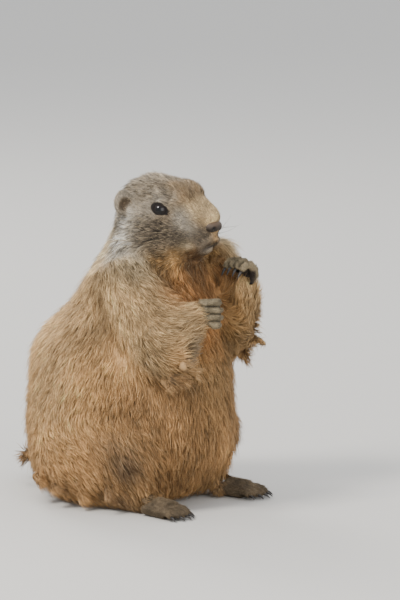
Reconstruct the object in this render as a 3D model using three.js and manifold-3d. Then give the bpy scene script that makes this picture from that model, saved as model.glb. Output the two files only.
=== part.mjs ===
// An alpine marmot that sits up on its haunches with both forepaws held in front of its chest,
// life size, in millimetres.
// +Z is up, the animal looks along -Y and its left side is +X. The origin is on the floor, under its seat.
// The solids reach out to the surface of the coat. Neighbouring pieces keep a thin gap.
import * as THREE from 'three';
import { mergeVertices } from 'three/addons/utils/BufferGeometryUtils.js';
import Module from 'manifold-3d';

const wasm = await Module();
wasm.setup();

// Driving sizes
const gap = 0.4;
const finest = 0.03;
const eyeHeight = 297;
const eyeFront = 53;
const eyeOut = 25.5;
const eyeRadius = 8.2;

// Colours and finishes
const coatTawny = new THREE.MeshStandardMaterial({ color: 0xb08a5c, roughness: 0.9, metalness: 0 });
const coatGrey = new THREE.MeshStandardMaterial({ color: 0x8f8576, roughness: 0.9, metalness: 0 });
const coatPaw = new THREE.MeshStandardMaterial({ color: 0x8a8272, roughness: 0.85, metalness: 0 });
const coatTail = new THREE.MeshStandardMaterial({ color: 0x4a3b2e, roughness: 0.9, metalness: 0 });
const noseSkin = new THREE.MeshStandardMaterial({ color: 0x2c2724, roughness: 0.5, metalness: 0 });
const eyeDark = new THREE.MeshStandardMaterial({ color: 0x0b0a0a, roughness: 0.08, metalness: 0 });
const clawHorn = new THREE.MeshStandardMaterial({ color: 0x2a2522, roughness: 0.4, metalness: 0 });

// A point given by its side (+1 left, -1 right), its distance out from the midline, forwards and up.
function place(side, out, front, up) {
  return new THREE.Vector3(side * out, -front, up);
}

// Fields: each is a function of a point, below zero inside.
function ellipsoid(centre, half, turn = [0, 0, 0]) {
  const back = new THREE.Quaternion().setFromEuler(new THREE.Euler(...turn)).invert();
  const p = new THREE.Vector3();
  return (point) => {
    p.copy(point).sub(centre).applyQuaternion(back);
    const near = Math.hypot(p.x / half[0], p.y / half[1], p.z / half[2]);
    const slope = Math.hypot(p.x / half[0] ** 2, p.y / half[1] ** 2, p.z / half[2] ** 2);
    return slope > 0 ? (near * (near - 1)) / slope : -Math.min(...half);
  };
}

function roundCone(from, fromRadius, to, toRadius) {
  const axis = to.clone().sub(from);
  const length2 = axis.lengthSq();
  const p = new THREE.Vector3();
  return (point) => {
    p.copy(point).sub(from);
    const share = THREE.MathUtils.clamp(p.dot(axis) / length2, 0, 1);
    return p.addScaledVector(axis, -share).length() - THREE.MathUtils.lerp(fromRadius, toRadius, share);
  };
}

// The fields as one, with the creases between them filled to about the given width.
function blend(width, ...fields) {
  return (point) => {
    let found = fields[0](point);
    for (let i = 1; i < fields.length; i++) {
      const other = fields[i](point);
      const share = Math.max(width - Math.abs(found - other), 0) / width;
      found = Math.min(found, other) - (share * share * width) / 4;
    }
    return found;
  };
}

function bothSides(make) {
  return [make(1), make(-1)];
}

// Solids
function weld(geometry) {
  const bare = new THREE.BufferGeometry().setAttribute('position', geometry.getAttribute('position'));
  if (geometry.index) bare.setIndex(geometry.index);
  return mergeVertices(bare, 1e-4);
}

function solidOf(geometry) {
  const merged = weld(geometry);
  return new wasm.Manifold(new wasm.Mesh({
    numProp: 3,
    vertProperties: new Float32Array(merged.attributes.position.array),
    triVerts: new Uint32Array(merged.index.array),
    tolerance: finest,
  }));
}

// The closed surface where a field is zero, one vertex for each cell that it crosses.
function surfaceOf(field, low, high, cell) {
  const size = high.clone().sub(low).divideScalar(cell).ceil().addScalar(1);
  const [nx, ny, nz] = [size.x, size.y, size.z];
  const values = new Float64Array(nx * ny * nz);
  const index = (i, j, k) => i + nx * (j + ny * k);
  const corner = (i, j, k, out) => out.set(low.x + i * cell, low.y + j * cell, low.z + k * cell);
  const p = new THREE.Vector3();
  for (let k = 0; k < nz; k++)
    for (let j = 0; j < ny; j++)
      for (let i = 0; i < nx; i++) {
        const edge = !i || !j || !k || i === nx - 1 || j === ny - 1 || k === nz - 1;
        const value = field(corner(i, j, k, p));
        values[index(i, j, k)] = edge ? Math.max(value, cell * 0.05) : value;
      }
  const slope = new THREE.Vector3();
  const step = new THREE.Vector3();
  const h = cell * 0.02;
  function settle(point) {
    const start = point.clone();
    for (let round = 0; round < 3; round++) {
      const here = field(point);
      slope.set(
        field(step.copy(point).setX(point.x + h)) - here,
        field(step.copy(point).setY(point.y + h)) - here,
        field(step.copy(point).setZ(point.z + h)) - here,
      ).divideScalar(h);
      point.addScaledVector(slope, -here / Math.max(slope.lengthSq(), 0.2));
    }
    return point.distanceTo(start) < cell ? point : start;
  }
  const corners = [0, 1, 2, 3, 4, 5, 6, 7].map((n) => [n & 1, (n >> 1) & 1, (n >> 2) & 1]);
  const edges = [];
  for (let a = 0; a < 8; a++)
    for (const bit of [1, 2, 4]) if (!(a & bit)) edges.push([a, a | bit]);
  const inner = (point) =>
    point.x > low.x + cell && point.y > low.y + cell && point.z > low.z + cell &&
    point.x < high.x - cell && point.y < high.y - cell && point.z < high.z - cell;
  const vertexOf = new Map();
  const positions = [];
  const a = new THREE.Vector3();
  const b = new THREE.Vector3();
  for (let k = 0; k < nz - 1; k++)
    for (let j = 0; j < ny - 1; j++)
      for (let i = 0; i < nx - 1; i++) {
        const at = corners.map(([x, y, z]) => values[index(i + x, j + y, k + z)]);
        const middle = new THREE.Vector3();
        let count = 0;
        for (const [m, n] of edges) {
          if (at[m] < 0 === at[n] < 0) continue;
          corner(i + corners[m][0], j + corners[m][1], k + corners[m][2], a);
          corner(i + corners[n][0], j + corners[n][1], k + corners[n][2], b);
          middle.add(a.lerp(b, at[m] / (at[m] - at[n])));
          count++;
        }
        if (!count) continue;
        middle.divideScalar(count);
        if (inner(middle)) settle(middle);
        vertexOf.set(index(i, j, k), positions.length / 3);
        positions.push(middle.x, middle.y, middle.z);
      }
  const faces = [];
  const along = (m, n, c) => positions[3 * m + c] - positions[3 * n + c];
  const distance = (m, n) => Math.hypot(...[0, 1, 2].map((c) => along(m, n, c)));
  function quad(q, turned) {
    if (turned) q.reverse();
    if (distance(q[0], q[2]) < distance(q[1], q[3])) faces.push(q[0], q[1], q[2], q[0], q[2], q[3]);
    else faces.push(q[1], q[2], q[3], q[1], q[3], q[0]);
  }
  for (let k = 0; k < nz - 1; k++)
    for (let j = 0; j < ny - 1; j++)
      for (let i = 0; i < nx - 1; i++) {
        const here = values[index(i, j, k)] < 0;
        const cells = (list) => list.map(([x, y, z]) => vertexOf.get(index(i - x, j - y, k - z)));
        if (here !== values[index(i + 1, j, k)] < 0)
          quad(cells([[0, 1, 1], [0, 0, 1], [0, 0, 0], [0, 1, 0]]), !here);
        if (here !== values[index(i, j + 1, k)] < 0)
          quad(cells([[1, 0, 1], [1, 0, 0], [0, 0, 0], [0, 0, 1]]), !here);
        if (here !== values[index(i, j, k + 1)] < 0)
          quad(cells([[1, 1, 0], [0, 1, 0], [0, 0, 0], [1, 0, 0]]), !here);
      }
  const geometry = new THREE.BufferGeometry();
  geometry.setAttribute('position', new THREE.Float32BufferAttribute(positions, 3));
  geometry.setIndex(faces);
  return geometry;
}

// A field's surface inside the box given by its middle and half size.
function fieldShape(field, middle, half, cell) {
  const reach = new THREE.Vector3(...half);
  return surfaceOf(field, middle.clone().sub(reach), middle.clone().add(reach), cell);
}

// The same closed surface, moved outwards by the gap.
function grown(geometry, clear = gap) {
  const made = geometry.clone();
  made.computeVertexNormals();
  const [spots, normals] = [made.getAttribute('position'), made.getAttribute('normal')];
  for (let i = 0; i < spots.count; i++)
    spots.setXYZ(
      i,
      spots.getX(i) + normals.getX(i) * clear,
      spots.getY(i) + normals.getY(i) * clear,
      spots.getZ(i) + normals.getZ(i) * clear,
    );
  return made;
}

// A closed round body along a smooth curve through the points, with a radius at each and blunt ends.
function limb(points, radii, sides, steps, flat = 1, flatAxis = null) {
  const curve = new THREE.CatmullRomCurve3(points, false, 'centripetal');
  const rings = [];
  const forward = new THREE.Vector3();
  const across = new THREE.Vector3();
  const over = new THREE.Vector3();
  for (let n = 0; n <= steps; n++) {
    const t = n / steps;
    const along = t * (radii.length - 1);
    const first = Math.min(Math.floor(along), radii.length - 2);
    const radius = THREE.MathUtils.lerp(radii[first], radii[first + 1], along - first);
    const centre = curve.getPoint(t);
    curve.getTangent(t, forward);
    over.copy(flatAxis || new THREE.Vector3(0.31, 0.23, 0.92));
    across.crossVectors(forward, over).normalize();
    over.crossVectors(across, forward).normalize();
    rings.push({ centre, radius, across: across.clone(), over: over.clone() });
  }
  const positions = [];
  for (const ring of rings)
    for (let s = 0; s < sides; s++) {
      const angle = (2 * Math.PI * s) / sides;
      const spot = ring.centre.clone()
        .addScaledVector(ring.across, Math.cos(angle) * ring.radius)
        .addScaledVector(ring.over, Math.sin(angle) * ring.radius * flat);
      positions.push(spot.x, spot.y, spot.z);
    }
  const faces = [];
  for (let n = 0; n < steps; n++)
    for (let s = 0; s < sides; s++) {
      const [m, next] = [n * sides, (s + 1) % sides];
      faces.push(m + s, m + next, m + sides + s, m + next, m + sides + next, m + sides + s);
    }
  const ends = [rings[0].centre, rings[steps].centre].map((c) => positions.push(c.x, c.y, c.z) / 3 - 1);
  for (let s = 0; s < sides; s++) {
    const next = (s + 1) % sides;
    faces.push(ends[0], next, s, ends[1], steps * sides + s, steps * sides + next);
  }
  const geometry = new THREE.BufferGeometry();
  geometry.setAttribute('position', new THREE.Float32BufferAttribute(positions, 3));
  geometry.setIndex(faces);
  return solidOf(geometry).volume() < 0 ? turned(geometry) : geometry;
}

function turned(geometry) {
  const index = geometry.index.array;
  for (let i = 0; i < index.length; i += 3) [index[i + 1], index[i + 2]] = [index[i + 2], index[i + 1]];
  return geometry;
}

// A ball squashed to half sizes across, up and along the way that it faces.
function ball(centre, facing, half, around = 16, down = 10) {
  const along = facing.clone().normalize();
  const across = new THREE.Vector3(0, 0, 1).cross(along).normalize();
  const up = along.clone().cross(across);
  const matrix = new THREE.Matrix4().makeBasis(across, up, along)
    .scale(new THREE.Vector3(...half)).setPosition(centre);
  return weld(new THREE.SphereGeometry(1, around, down).applyMatrix4(matrix));
}

function joined(solids) {
  return solids.reduce((all, one) => all.add(one));
}

function largest(solid) {
  return solid.decompose().sort((a, b) => b.volume() - a.volume())[0];
}

// What lies on the side of a plane that its normal points to, kept half a gap clear of it.
function beyond(solid, point, normal, clear = gap / 2) {
  const unit = normal.clone().normalize();
  return solid.trimByPlane(unit.toArray(), unit.dot(point) + clear);
}

function onFloor(solid) {
  return solid.trimByPlane([0, 0, 1], 0);
}

function seeded(seed) {
  let state = seed;
  return (low = 0, high = 1) => {
    state = (state * 16807) % 2147483647;
    return low + (high - low) * (state / 2147483647);
  };
}

// The nearest place on a field's surface, with the way out of it there.
function settled(field, start) {
  const point = start.clone();
  const out = new THREE.Vector3();
  const axes = [[1, 0, 0], [0, 1, 0], [0, 0, 1]].map((axis) => new THREE.Vector3(...axis));
  for (let round = 0; round < 6; round++) {
    const here = field(point);
    out.set(...axes.map((axis) => field(point.clone().addScaledVector(axis, 0.1)) - here)).normalize();
    point.addScaledVector(out, -here);
  }
  return { point, out };
}

// A flat lock of hair that tapers to its tip, with its root sunk in the body and its tip lifted.
const lockSink = 4;
const lockFlat = 0.42;
function lock(point, out, heading, length, width, lift) {
  const lie = heading.clone().addScaledVector(out, -heading.dot(out)).normalize();
  const along = (share, up) => point.clone().addScaledVector(lie, share * length).addScaledVector(out, up);
  return limb(
    [along(0, -lockSink), along(0.3, lift * 0.45), along(0.65, lift * 0.9), along(1, lift)],
    [width * 0.45, width * 0.5, width * 0.36, 0.4], 4, 3, lockFlat, out,
  );
}

const marmot = new THREE.Group();

function add(name, solid, material) {
  const mesh = largest(solid).getMesh();
  const positions = new Float32Array(mesh.numVert * 3);
  for (let v = 0; v < mesh.numVert; v++)
    positions.set(mesh.vertProperties.subarray(v * mesh.numProp, v * mesh.numProp + 3), v * 3);
  const geometry = new THREE.BufferGeometry();
  geometry.setAttribute('position', new THREE.BufferAttribute(positions, 3));
  geometry.setIndex(new THREE.BufferAttribute(new Uint32Array(mesh.triVerts), 1));
  geometry.computeVertexNormals();
  const piece = new THREE.Mesh(geometry, material);
  piece.name = name;
  marmot.add(piece);
}

// Torso: a pear that leans a little forwards, widest at the belly.
const torso = blend(26,
  ellipsoid(place(1, 0, -18, 36), [87, 95, 52]),
  ellipsoid(place(1, 0, -2, 78), [96, 113, 80]),
  ellipsoid(place(1, 0, 0, 130), [93, 109, 84]),
  ellipsoid(place(1, 0, 20, 200), [70, 70, 62]),
  ellipsoid(place(1, 0, 28, 230), [60, 46, 40]),
);

// Head, in places counted from the point between the eyes.
function headPlace(side, out, front, up) {
  return place(side, out, eyeFront + front, eyeHeight + up);
}
const skull = blend(10,
  ellipsoid(headPlace(1, 0, -20, 1), [31, 36, 30]),
  roundCone(headPlace(1, 0, 9, 3), 21.5, headPlace(1, 0, 37, -7), 13.5),
  roundCone(headPlace(1, 0, 12, -16), 20, headPlace(1, 0, 36, -20), 12.8),
  ...bothSides((side) => ellipsoid(headPlace(side, 17, -10, -21), [20, 31, 24])),
  ...bothSides((side) => ellipsoid(headPlace(side, 13, 8, 15), [12, 16, 9])),
  roundCone(headPlace(1, 0, -14, -31), 23, headPlace(1, 0, 33, -37), 11.5),
);
const nape = roundCone(place(1, 0, 29, 278), 40, place(1, 0, 28, 236), 45);

// Arms, held against the chest, the left forearm raised higher than the right.
// The paws curl round towards the palm.
const arms = {
  left: {
    side: 1,
    shoulder: [60, 50, 238], shoulderRadius: 32,
    elbow: [70, 79, 172], elbowRadius: 26,
    wrist: [50, 106, 218], wristRadius: 13,
    along: [-0.1, 0.02, 0.97], palm: [-1, -0.15, 0.1],
  },
  right: {
    side: -1,
    shoulder: [58, 28, 235], shoulderRadius: 30,
    elbow: [69, 92, 172], elbowRadius: 33,
    wrist: [37, 97, 200], wristRadius: 14,
    along: [-0.25, 0.9, 0.02], palm: [-1, -0.35, -0.15],
  },
};
function armPlace(arm, spot) {
  return place(arm.side, ...arm[spot]);
}
function upperArm(arm, extra = 0, start = 0) {
  const top = armPlace(arm, 'shoulder').lerp(armPlace(arm, 'elbow'), start);
  return roundCone(top, arm.shoulderRadius + extra, armPlace(arm, 'elbow'), arm.elbowRadius + extra);
}
function foreArm(arm) {
  const middle = armPlace(arm, 'elbow').lerp(armPlace(arm, 'wrist'), 0.5);
  return blend(8,
    roundCone(armPlace(arm, 'elbow'), arm.elbowRadius - 2, middle, arm.elbowRadius - 6),
    roundCone(middle, arm.wristRadius + 8, armPlace(arm, 'wrist'), arm.wristRadius),
  );
}

// A paw: a flat palm and curled digits, each with its claw.
const digitLengths = [10, 9, 7];
const digitRadii = [4.7, 4.5, 4, 3];
const digitTurns = [22, 80, 128];
const digitSpacing = 7.2;
const palmLength = 19;
const clawLength = 10;
function clawFrom(tip, heading, towards, length) {
  const hook = heading.clone().lerp(towards, 0.45).normalize();
  return limb([
    tip.clone().addScaledVector(heading, gap),
    tip.clone().addScaledVector(heading, length * 0.5),
    tip.clone().addScaledVector(heading, length * 0.55).addScaledVector(hook, length * 0.45),
  ], [2.2, 1.7, 0.45], 5, 2, 0.75, towards);
}
function paw(arm) {
  const wrist = armPlace(arm, 'wrist');
  const along = place(arm.side, ...arm.along).normalize();
  const palm = place(arm.side, ...arm.palm);
  palm.addScaledVector(along, -palm.dot(along)).normalize();
  const across = along.clone().cross(palm);
  const solids = [limb([
    wrist.clone().addScaledVector(along, -7),
    wrist.clone().addScaledVector(along, palmLength * 0.45),
    wrist.clone().addScaledVector(along, palmLength),
  ], [arm.wristRadius * 0.85, 13.5, 12.5], 10, 4, 0.66, palm)];
  const claws = [];
  for (let digit = 0; digit < 4; digit++) {
    const offset = (digit - 1.5) * digitSpacing;
    const reach = palmLength - Math.abs(digit - 1.4) * 1.6;
    const points = [wrist.clone().addScaledVector(along, reach - 7).addScaledVector(across, offset * 0.85)];
    const heading = new THREE.Vector3();
    digitLengths.forEach((length, joint) => {
      const angle = THREE.MathUtils.degToRad(digitTurns[joint]);
      heading.copy(along).multiplyScalar(Math.cos(angle)).addScaledVector(palm, Math.sin(angle));
      const push = joint === 0 ? offset * 0.15 : 0;
      points.push(points[joint].clone().addScaledVector(heading, length + (joint === 0 ? 4 : 0))
        .addScaledVector(across, push));
    });
    solids.push(limb(points, digitRadii, 6, 5));
    claws.push(clawFrom(points[3], heading.normalize().clone(), along.clone().negate(), clawLength));
  }
  const thumbRoot = wrist.clone().addScaledVector(across, 9).addScaledVector(palm, 4);
  solids.push(limb([
    thumbRoot,
    thumbRoot.clone().addScaledVector(along, 6).addScaledVector(palm, 4),
  ], [4, 2.6], 6, 2));
  return { solids, claws };
}

// Hind legs, folded, with the long feet flat on the floor.
const hip = [50, -8, 58];
const knee = [66, 46, 62];
const ankle = [62, 46, 20];
const midlineClear = 14;
function thigh(side, extra = 0) {
  const whole = roundCone(place(side, ...hip), 54 + extra, place(side, ...knee), 33 + extra);
  return (point) => Math.max(whole(point), midlineClear - side * point.x);
}
function shin(side, extra = 0) {
  return roundCone(place(side, ...knee), 32 + extra, place(side, ...ankle), 20 + extra);
}
const toeLengths = [12, 17, 19, 17, 12];
const toeSpacing = 6.4;
const ballFront = 94;
function foot(side) {
  const up = new THREE.Vector3(0, 0, 1);
  const sole = limb([
    place(side, 62, 34, 9), place(side, 63, 62, 9.5), place(side, 66, ballFront, 7),
  ], [11, 14, 15], 10, 5, 0.7, up);
  const claws = [];
  const toes = toeLengths.map((length, toe) => {
    const offset = (toe - 2) * toeSpacing;
    const root = place(side, 66 + offset * 0.8, ballFront - 4, 7);
    const tip = place(side, 67.5 + offset * 1.15, ballFront + length, 4.6);
    const middle = root.clone().lerp(tip, 0.55).setZ(8.2);
    const heading = tip.clone().sub(middle).normalize();
    claws.push(clawFrom(tip, heading.clone().setZ(-0.08), new THREE.Vector3(0, 0, -1), clawLength * 0.9));
    return limb([root, middle, tip], [5.2, 4.8, 3.4], 6, 3);
  });
  return { solids: [sole, ...toes], claws };
}

// Tail, laid round to the left on the floor.
const tailRoute = [
  place(1, 0, -70, 34), place(1, 4, -98, 24), place(1, 22, -124, 20),
  place(1, 56, -138, 18), place(1, 92, -132, 15), place(1, 118, -114, 9),
];
const tailRadii = [17, 19, 21, 21, 18, 5];
const tailParts = ['tail_base', 'tail_middle', 'tail_tip'];

// Eyes, lids, ears, nose and mouth
const eyeFacing = (side) => place(side, 0.9, 0.4, 0.12);
const eyeCentre = (side) => headPlace(side, eyeOut - 1, 0, 0);
const lidHalf = [7.6, 6.4];
const lidThick = 1.9;
function lids(side) {
  const facing = eyeFacing(side).normalize();
  const across = new THREE.Vector3(0, 0, 1).cross(facing).normalize();
  const up = facing.clone().cross(across);
  const matrix = new THREE.Matrix4().makeBasis(across, up, facing)
    .scale(new THREE.Vector3(lidHalf[0], lidHalf[1], 7))
    .setPosition(eyeCentre(side).addScaledVector(facing, 3.6));
  return weld(new THREE.TorusGeometry(1, lidThick / 7, 4, 12).applyMatrix4(matrix));
}
// What is cut away in front of the eyeball, between the lids.
function eyeOpening(side) {
  const front = eyeCentre(side).addScaledVector(eyeFacing(side).normalize(), 11);
  return solidOf(ball(front, eyeFacing(side), [lidHalf[0] - 1.2, lidHalf[1] - 1.2, 8], 16, 8));
}
const earFacing = (side) => place(side, 0.6, 0.78, 0.12);
const earCentre = (side) => headPlace(side, 38.5, -34, 5.5);
function ear(side) {
  const facing = earFacing(side).normalize();
  const outer = solidOf(ball(earCentre(side), facing, [10.5, 12.5, 5.5], 14, 8));
  const cupCentre = earCentre(side).addScaledVector(facing, 5.5).setZ(earCentre(side).z - 2);
  return outer.subtract(solidOf(ball(cupCentre, facing, [7, 8.5, 6.5], 10, 6)));
}
const nosePad = ball(headPlace(1, 0, 43.5, -16.5), place(1, 0, 1, -0.1), [10.5, 7, 10.5], 12, 8);
const nostrils = bothSides((side) =>
  solidOf(ball(headPlace(side, 5.6, 52.4, -17.5), place(side, 0.7, 1, 0), [1.7, 2.4, 3.4], 8, 6)));
const mouthLine = [[70, -29], [54, -31], [49, -33.5], [43, -38], [35, -41], [27, -42]];
const jawBack = [[22, -50], [20, -70], [70, -70]];
const mouthOpen = [2.4, 2.4, 2.2, 1.8, 0.9, 0.6];
function slabAcross(outline) {
  const shape = new THREE.Shape(outline.map(([front, up]) => new THREE.Vector2(front, up)));
  const slab = new THREE.ExtrudeGeometry(shape, { depth: 80, bevelEnabled: false });
  const matrix = new THREE.Matrix4().makeBasis(
    new THREE.Vector3(0, -1, 0), new THREE.Vector3(0, 0, 1), new THREE.Vector3(-1, 0, 0),
  ).setPosition(headPlace(-1, -40, 0, 0));
  return solidOf(slab.applyMatrix4(matrix));
}
const jawRegion = slabAcross([...mouthLine, ...jawBack]);
const jawClear = slabAcross([
  ...mouthLine.map(([front, up], n) => [front - (n > 3 ? 0.4 : 0), up + mouthOpen[n]]),
  [jawBack[0][0] - 0.6, jawBack[0][1]], [jawBack[1][0] - 0.5, jawBack[1][1]], jawBack[2],
]);
const upperLips = bothSides((side) => solidOf(limb([
  headPlace(side, 0.5, 46, -26), headPlace(side, 7, 43.5, -29),
  headPlace(side, 12, 36, -34), headPlace(side, 15, 27, -37),
], [3.8, 4.2, 3.6, 2.4], 8, 6)));
const lowerLips = bothSides((side) => solidOf(limb([
  headPlace(side, -1, 42.5, -38), headPlace(side, 6, 40, -40.5),
  headPlace(side, 11, 33, -43), headPlace(side, 14, 26, -44),
], [2.8, 3, 2.6, 2], 8, 6)));

const trunk = blend(20, torso, blend(14, skull, nape));
const body = blend(16, trunk,
  ...Object.values(arms).map((arm) => upperArm(arm)),
  ...bothSides((side) => blend(10, thigh(side), shin(side))),
);

// Long hair: a fringe under each forearm and elbow, a ruff on each cheek, a hem round the haunches.
const fringe = { count: 8, length: [20, 28], width: [11, 14], lift: 5 };
const ruff = { count: 6, length: [19, 25], width: [11, 14], lift: 5 };
const hem = { count: 7, length: [26, 34], width: [15, 19], lift: 6 };
const tailHair = { rows: 6, around: 3, length: [28, 36], width: [12, 15], lift: 6 };
function lockAt(field, start, heading, look, chance) {
  const { point, out } = settled(field, start);
  return lock(point, out, heading, chance(...look.length), chance(...look.width), look.lift);
}
function fringeOf(arm, seed) {
  const chance = seeded(seed);
  return Array.from({ length: fringe.count }, (_, n) => {
    const turn = THREE.MathUtils.degToRad(THREE.MathUtils.lerp(-120, -12, n / (fringe.count - 1)));
    const under = place(
      arm.side, n % 2 ? chance(8, 22) : chance(-12, 4),
      arm.elbowRadius * Math.cos(turn), arm.elbowRadius * Math.sin(turn),
    );
    const start = armPlace(arm, 'elbow').add(under);
    return lockAt(body, start, place(arm.side, 0.1, chance(0.3, 0.6), -1), fringe, chance);
  });
}
function ruffOf(side, seed) {
  const chance = seeded(seed);
  return Array.from({ length: ruff.count }, (_, n) => {
    const start = headPlace(side, 40, -8 - 3 * n + chance(-3, 3), -8 - 5.5 * n);
    return lockAt(trunk, start, place(side, 0.2, -0.8, chance(-0.7, -0.4)), ruff, chance);
  });
}
function hemOf(side, seed) {
  const chance = seeded(seed);
  return Array.from({ length: hem.count }, (_, n) => {
    const turn = THREE.MathUtils.degToRad(THREE.MathUtils.lerp(-50, 62, n / (hem.count - 1)));
    const start = place(side, 90 * Math.cos(turn), 90 * Math.sin(turn) - 10, chance(36, 48));
    return lockAt(body, start, place(side, 0.3 * Math.cos(turn), 0.3 * Math.sin(turn), -1), hem, chance);
  });
}
function tailHairs(seed) {
  const chance = seeded(seed);
  const curve = new THREE.CatmullRomCurve3(tailRoute, false, 'centripetal');
  const made = [];
  for (let row = 0; row < tailHair.rows; row++)
    for (let turn = 0; turn < tailHair.around; turn++) {
      const t = THREE.MathUtils.lerp(0.3, 0.94, row / (tailHair.rows - 1));
      const heading = curve.getTangent(t);
      const sideways = heading.clone().cross(new THREE.Vector3(0, 0, 1)).normalize();
      const angle = THREE.MathUtils.degToRad(90 + (turn - 1) * 70 + chance(-14, 14));
      const out = sideways.multiplyScalar(Math.cos(angle)).add(new THREE.Vector3(0, 0, Math.sin(angle)));
      const radius = THREE.MathUtils.lerp(tailRadii[1], tailRadii[5], t ** 3) - 1;
      const root = curve.getPoint(t).addScaledVector(out, radius);
      const [length, width] = [chance(...tailHair.length), chance(...tailHair.width)];
      made.push(lock(root, out, heading, length, width, tailHair.lift));
    }
  return made;
}

const chestCut = { point: place(1, 0, 0, 168), normal: new THREE.Vector3(0, 0.12, 1) };
const neckCut = { point: place(1, 0, 20, 244), normal: new THREE.Vector3(0, 0.04, 1) };
const headCut = { point: place(1, 0, 14, 274), normal: new THREE.Vector3(0, -1, 0.55) };
const down = (cut) => cut.normal.clone().negate();

// The limbs are parted from the body first. What is left is cut clear of them.
const bodyShape = fieldShape(body, place(1, 0, 3, 150), [140, 150, 170], 16.0);
const bodySolid = onFloor(solidOf(bodyShape));
const bodyGrown = solidOf(grown(bodyShape));
const clear = [];
// The locks, kept clear of the neighbours of the region that they grow from.
const combed = (locks, region) => joined(locks.map(solidOf)).subtract(bodyGrown.subtract(region));
for (const [name, arm] of Object.entries(arms)) {
  const middle = armPlace(arm, 'elbow').lerp(armPlace(arm, 'shoulder'), 0.5);
  const region = fieldShape(upperArm(arm, 9, 0.2), middle, [95, 95, 105], 22);
  const lowerMiddle = armPlace(arm, 'elbow').lerp(armPlace(arm, 'wrist'), 0.5);
  const fore = fieldShape(foreArm(arm), lowerMiddle, [70, 70, 70], 9);
  const { solids, claws } = paw(arm);
  const pawGrown = joined(solids.map((shape) => solidOf(grown(shape))));
  const foreGrown = solidOf(grown(fore));
  const hair = combed(fringeOf(arm, 7 + arm.side), solidOf(region)).subtract(foreGrown);
  add('upper_arm_' + name, bodySolid.intersect(solidOf(region)).add(hair).subtract(pawGrown), coatTawny);
  add('forearm_' + name, solidOf(fore).subtract(bodyGrown).subtract(pawGrown), coatTawny);
  add('paw_' + name, joined(solids.map(solidOf)), coatPaw);
  claws.forEach((claw, n) => add(`claw_${name}_${n + 1}`, solidOf(claw).subtract(pawGrown), clawHorn));
  clear.push(solidOf(grown(region)), foreGrown, pawGrown);
}
for (const side of [1, -1]) {
  const name = side > 0 ? 'left' : 'right';
  const leg = blend(10, thigh(side, 9), shin(side, 9));
  const region = fieldShape(leg, place(side, 58, 20, 62), [95, 120, 95], 22);
  const { solids, claws } = foot(side);
  const footSolid = onFloor(joined(solids.map(solidOf)));
  const regionGrown = solidOf(grown(region));
  const footGrown = joined(solids.map((shape) => solidOf(grown(shape))));
  const hair = onFloor(combed(hemOf(side, 31 + side), solidOf(region))).subtract(footGrown);
  add('thigh_' + name, bodySolid.intersect(solidOf(region)).add(hair), coatTawny);
  add('foot_' + name, footSolid.subtract(regionGrown), coatPaw);
  claws.forEach((claw, n) =>
    add(`claw_hind_${name}_${n + 1}`, onFloor(solidOf(claw)).subtract(footGrown), clawHorn));
  clear.push(regionGrown, footGrown);
}
const cuts = joined(clear);
add('belly', beyond(bodySolid, chestCut.point, down(chestCut)).subtract(cuts), coatTawny);
add('chest', beyond(beyond(bodySolid, chestCut.point, chestCut.normal), neckCut.point, down(neckCut))
  .subtract(cuts), coatTawny);

const neckSolid = solidOf(fieldShape(trunk, place(1, 0, 20, 270), [80, 90, 60], 9));
add('neck', beyond(beyond(neckSolid, neckCut.point, neckCut.normal), headCut.point, down(headCut))
  .subtract(cuts), coatGrey);
const eyeHalf = [eyeRadius, eyeRadius, eyeRadius];
const eyes = bothSides((side) => ball(eyeCentre(side), eyeFacing(side), eyeHalf, 14, 8));
let headSolid = solidOf(fieldShape(trunk, headPlace(1, 0, -10, -10), [62, 90, 75], 8.4));
headSolid = beyond(headSolid, headCut.point, headCut.normal);
headSolid = beyond(headSolid, neckCut.point, neckCut.normal).subtract(cuts);
const jaw = joined([headSolid.intersect(jawRegion), ...lowerLips]).intersect(jawRegion);
const skullSolid = joined([headSolid, ...upperLips, ...bothSides((side) => solidOf(lids(side)))])
  .subtract(joined([jawClear, solidOf(grown(nosePad)), ...eyes.map((eye) => solidOf(grown(eye))),
    ...bothSides(eyeOpening)]));
const cheekHair = joined([...ruffOf(1, 51), ...ruffOf(-1, 53)].map(solidOf));
add('head', skullSolid.add(beyond(cheekHair, headCut.point, headCut.normal)), coatGrey);
add('jaw', jaw, coatGrey);
add('nose', solidOf(nosePad).subtract(joined(nostrils)), noseSkin);
const headGrown = solidOf(grown(fieldShape(trunk, headPlace(1, 0, -10, -10), [62, 90, 75], 8.4)));
for (const side of [1, -1]) {
  const name = side > 0 ? 'left' : 'right';
  add('eye_' + name, solidOf(eyes[side > 0 ? 0 : 1]), eyeDark);
  add('ear_' + name, ear(side).subtract(headGrown), coatGrey);
}

const tailShape = joined([limb(tailRoute, tailRadii, 10, 12), ...tailHairs(71)].map(solidOf));
let tail = onFloor(tailShape).subtract(bodyGrown);
const tailCuts = [[2, 0.2], [4, 0.1]].map(([n, share]) => ({
  point: tailRoute[n].clone().lerp(tailRoute[n + 1] || tailRoute[n], share),
  normal: tailRoute[Math.min(n + 1, 5)].clone().sub(tailRoute[n - 1]),
}));
add(tailParts[0], beyond(tail, tailCuts[0].point, down(tailCuts[0])), coatTawny);
tail = beyond(tail, tailCuts[0].point, tailCuts[0].normal);
add(tailParts[1], beyond(tail, tailCuts[1].point, down(tailCuts[1])), coatTawny);
add(tailParts[2], beyond(tail, tailCuts[1].point, tailCuts[1].normal), coatTail);

export default marmot;
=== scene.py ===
# An alpine marmot that sits up and holds its forepaws before its chest.

import math

import bmesh
import bpy
import numpy as np
from mathutils import Matrix, Vector
from mathutils.bvhtree import BVHTree
from mathutils.kdtree import KDTree


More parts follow.
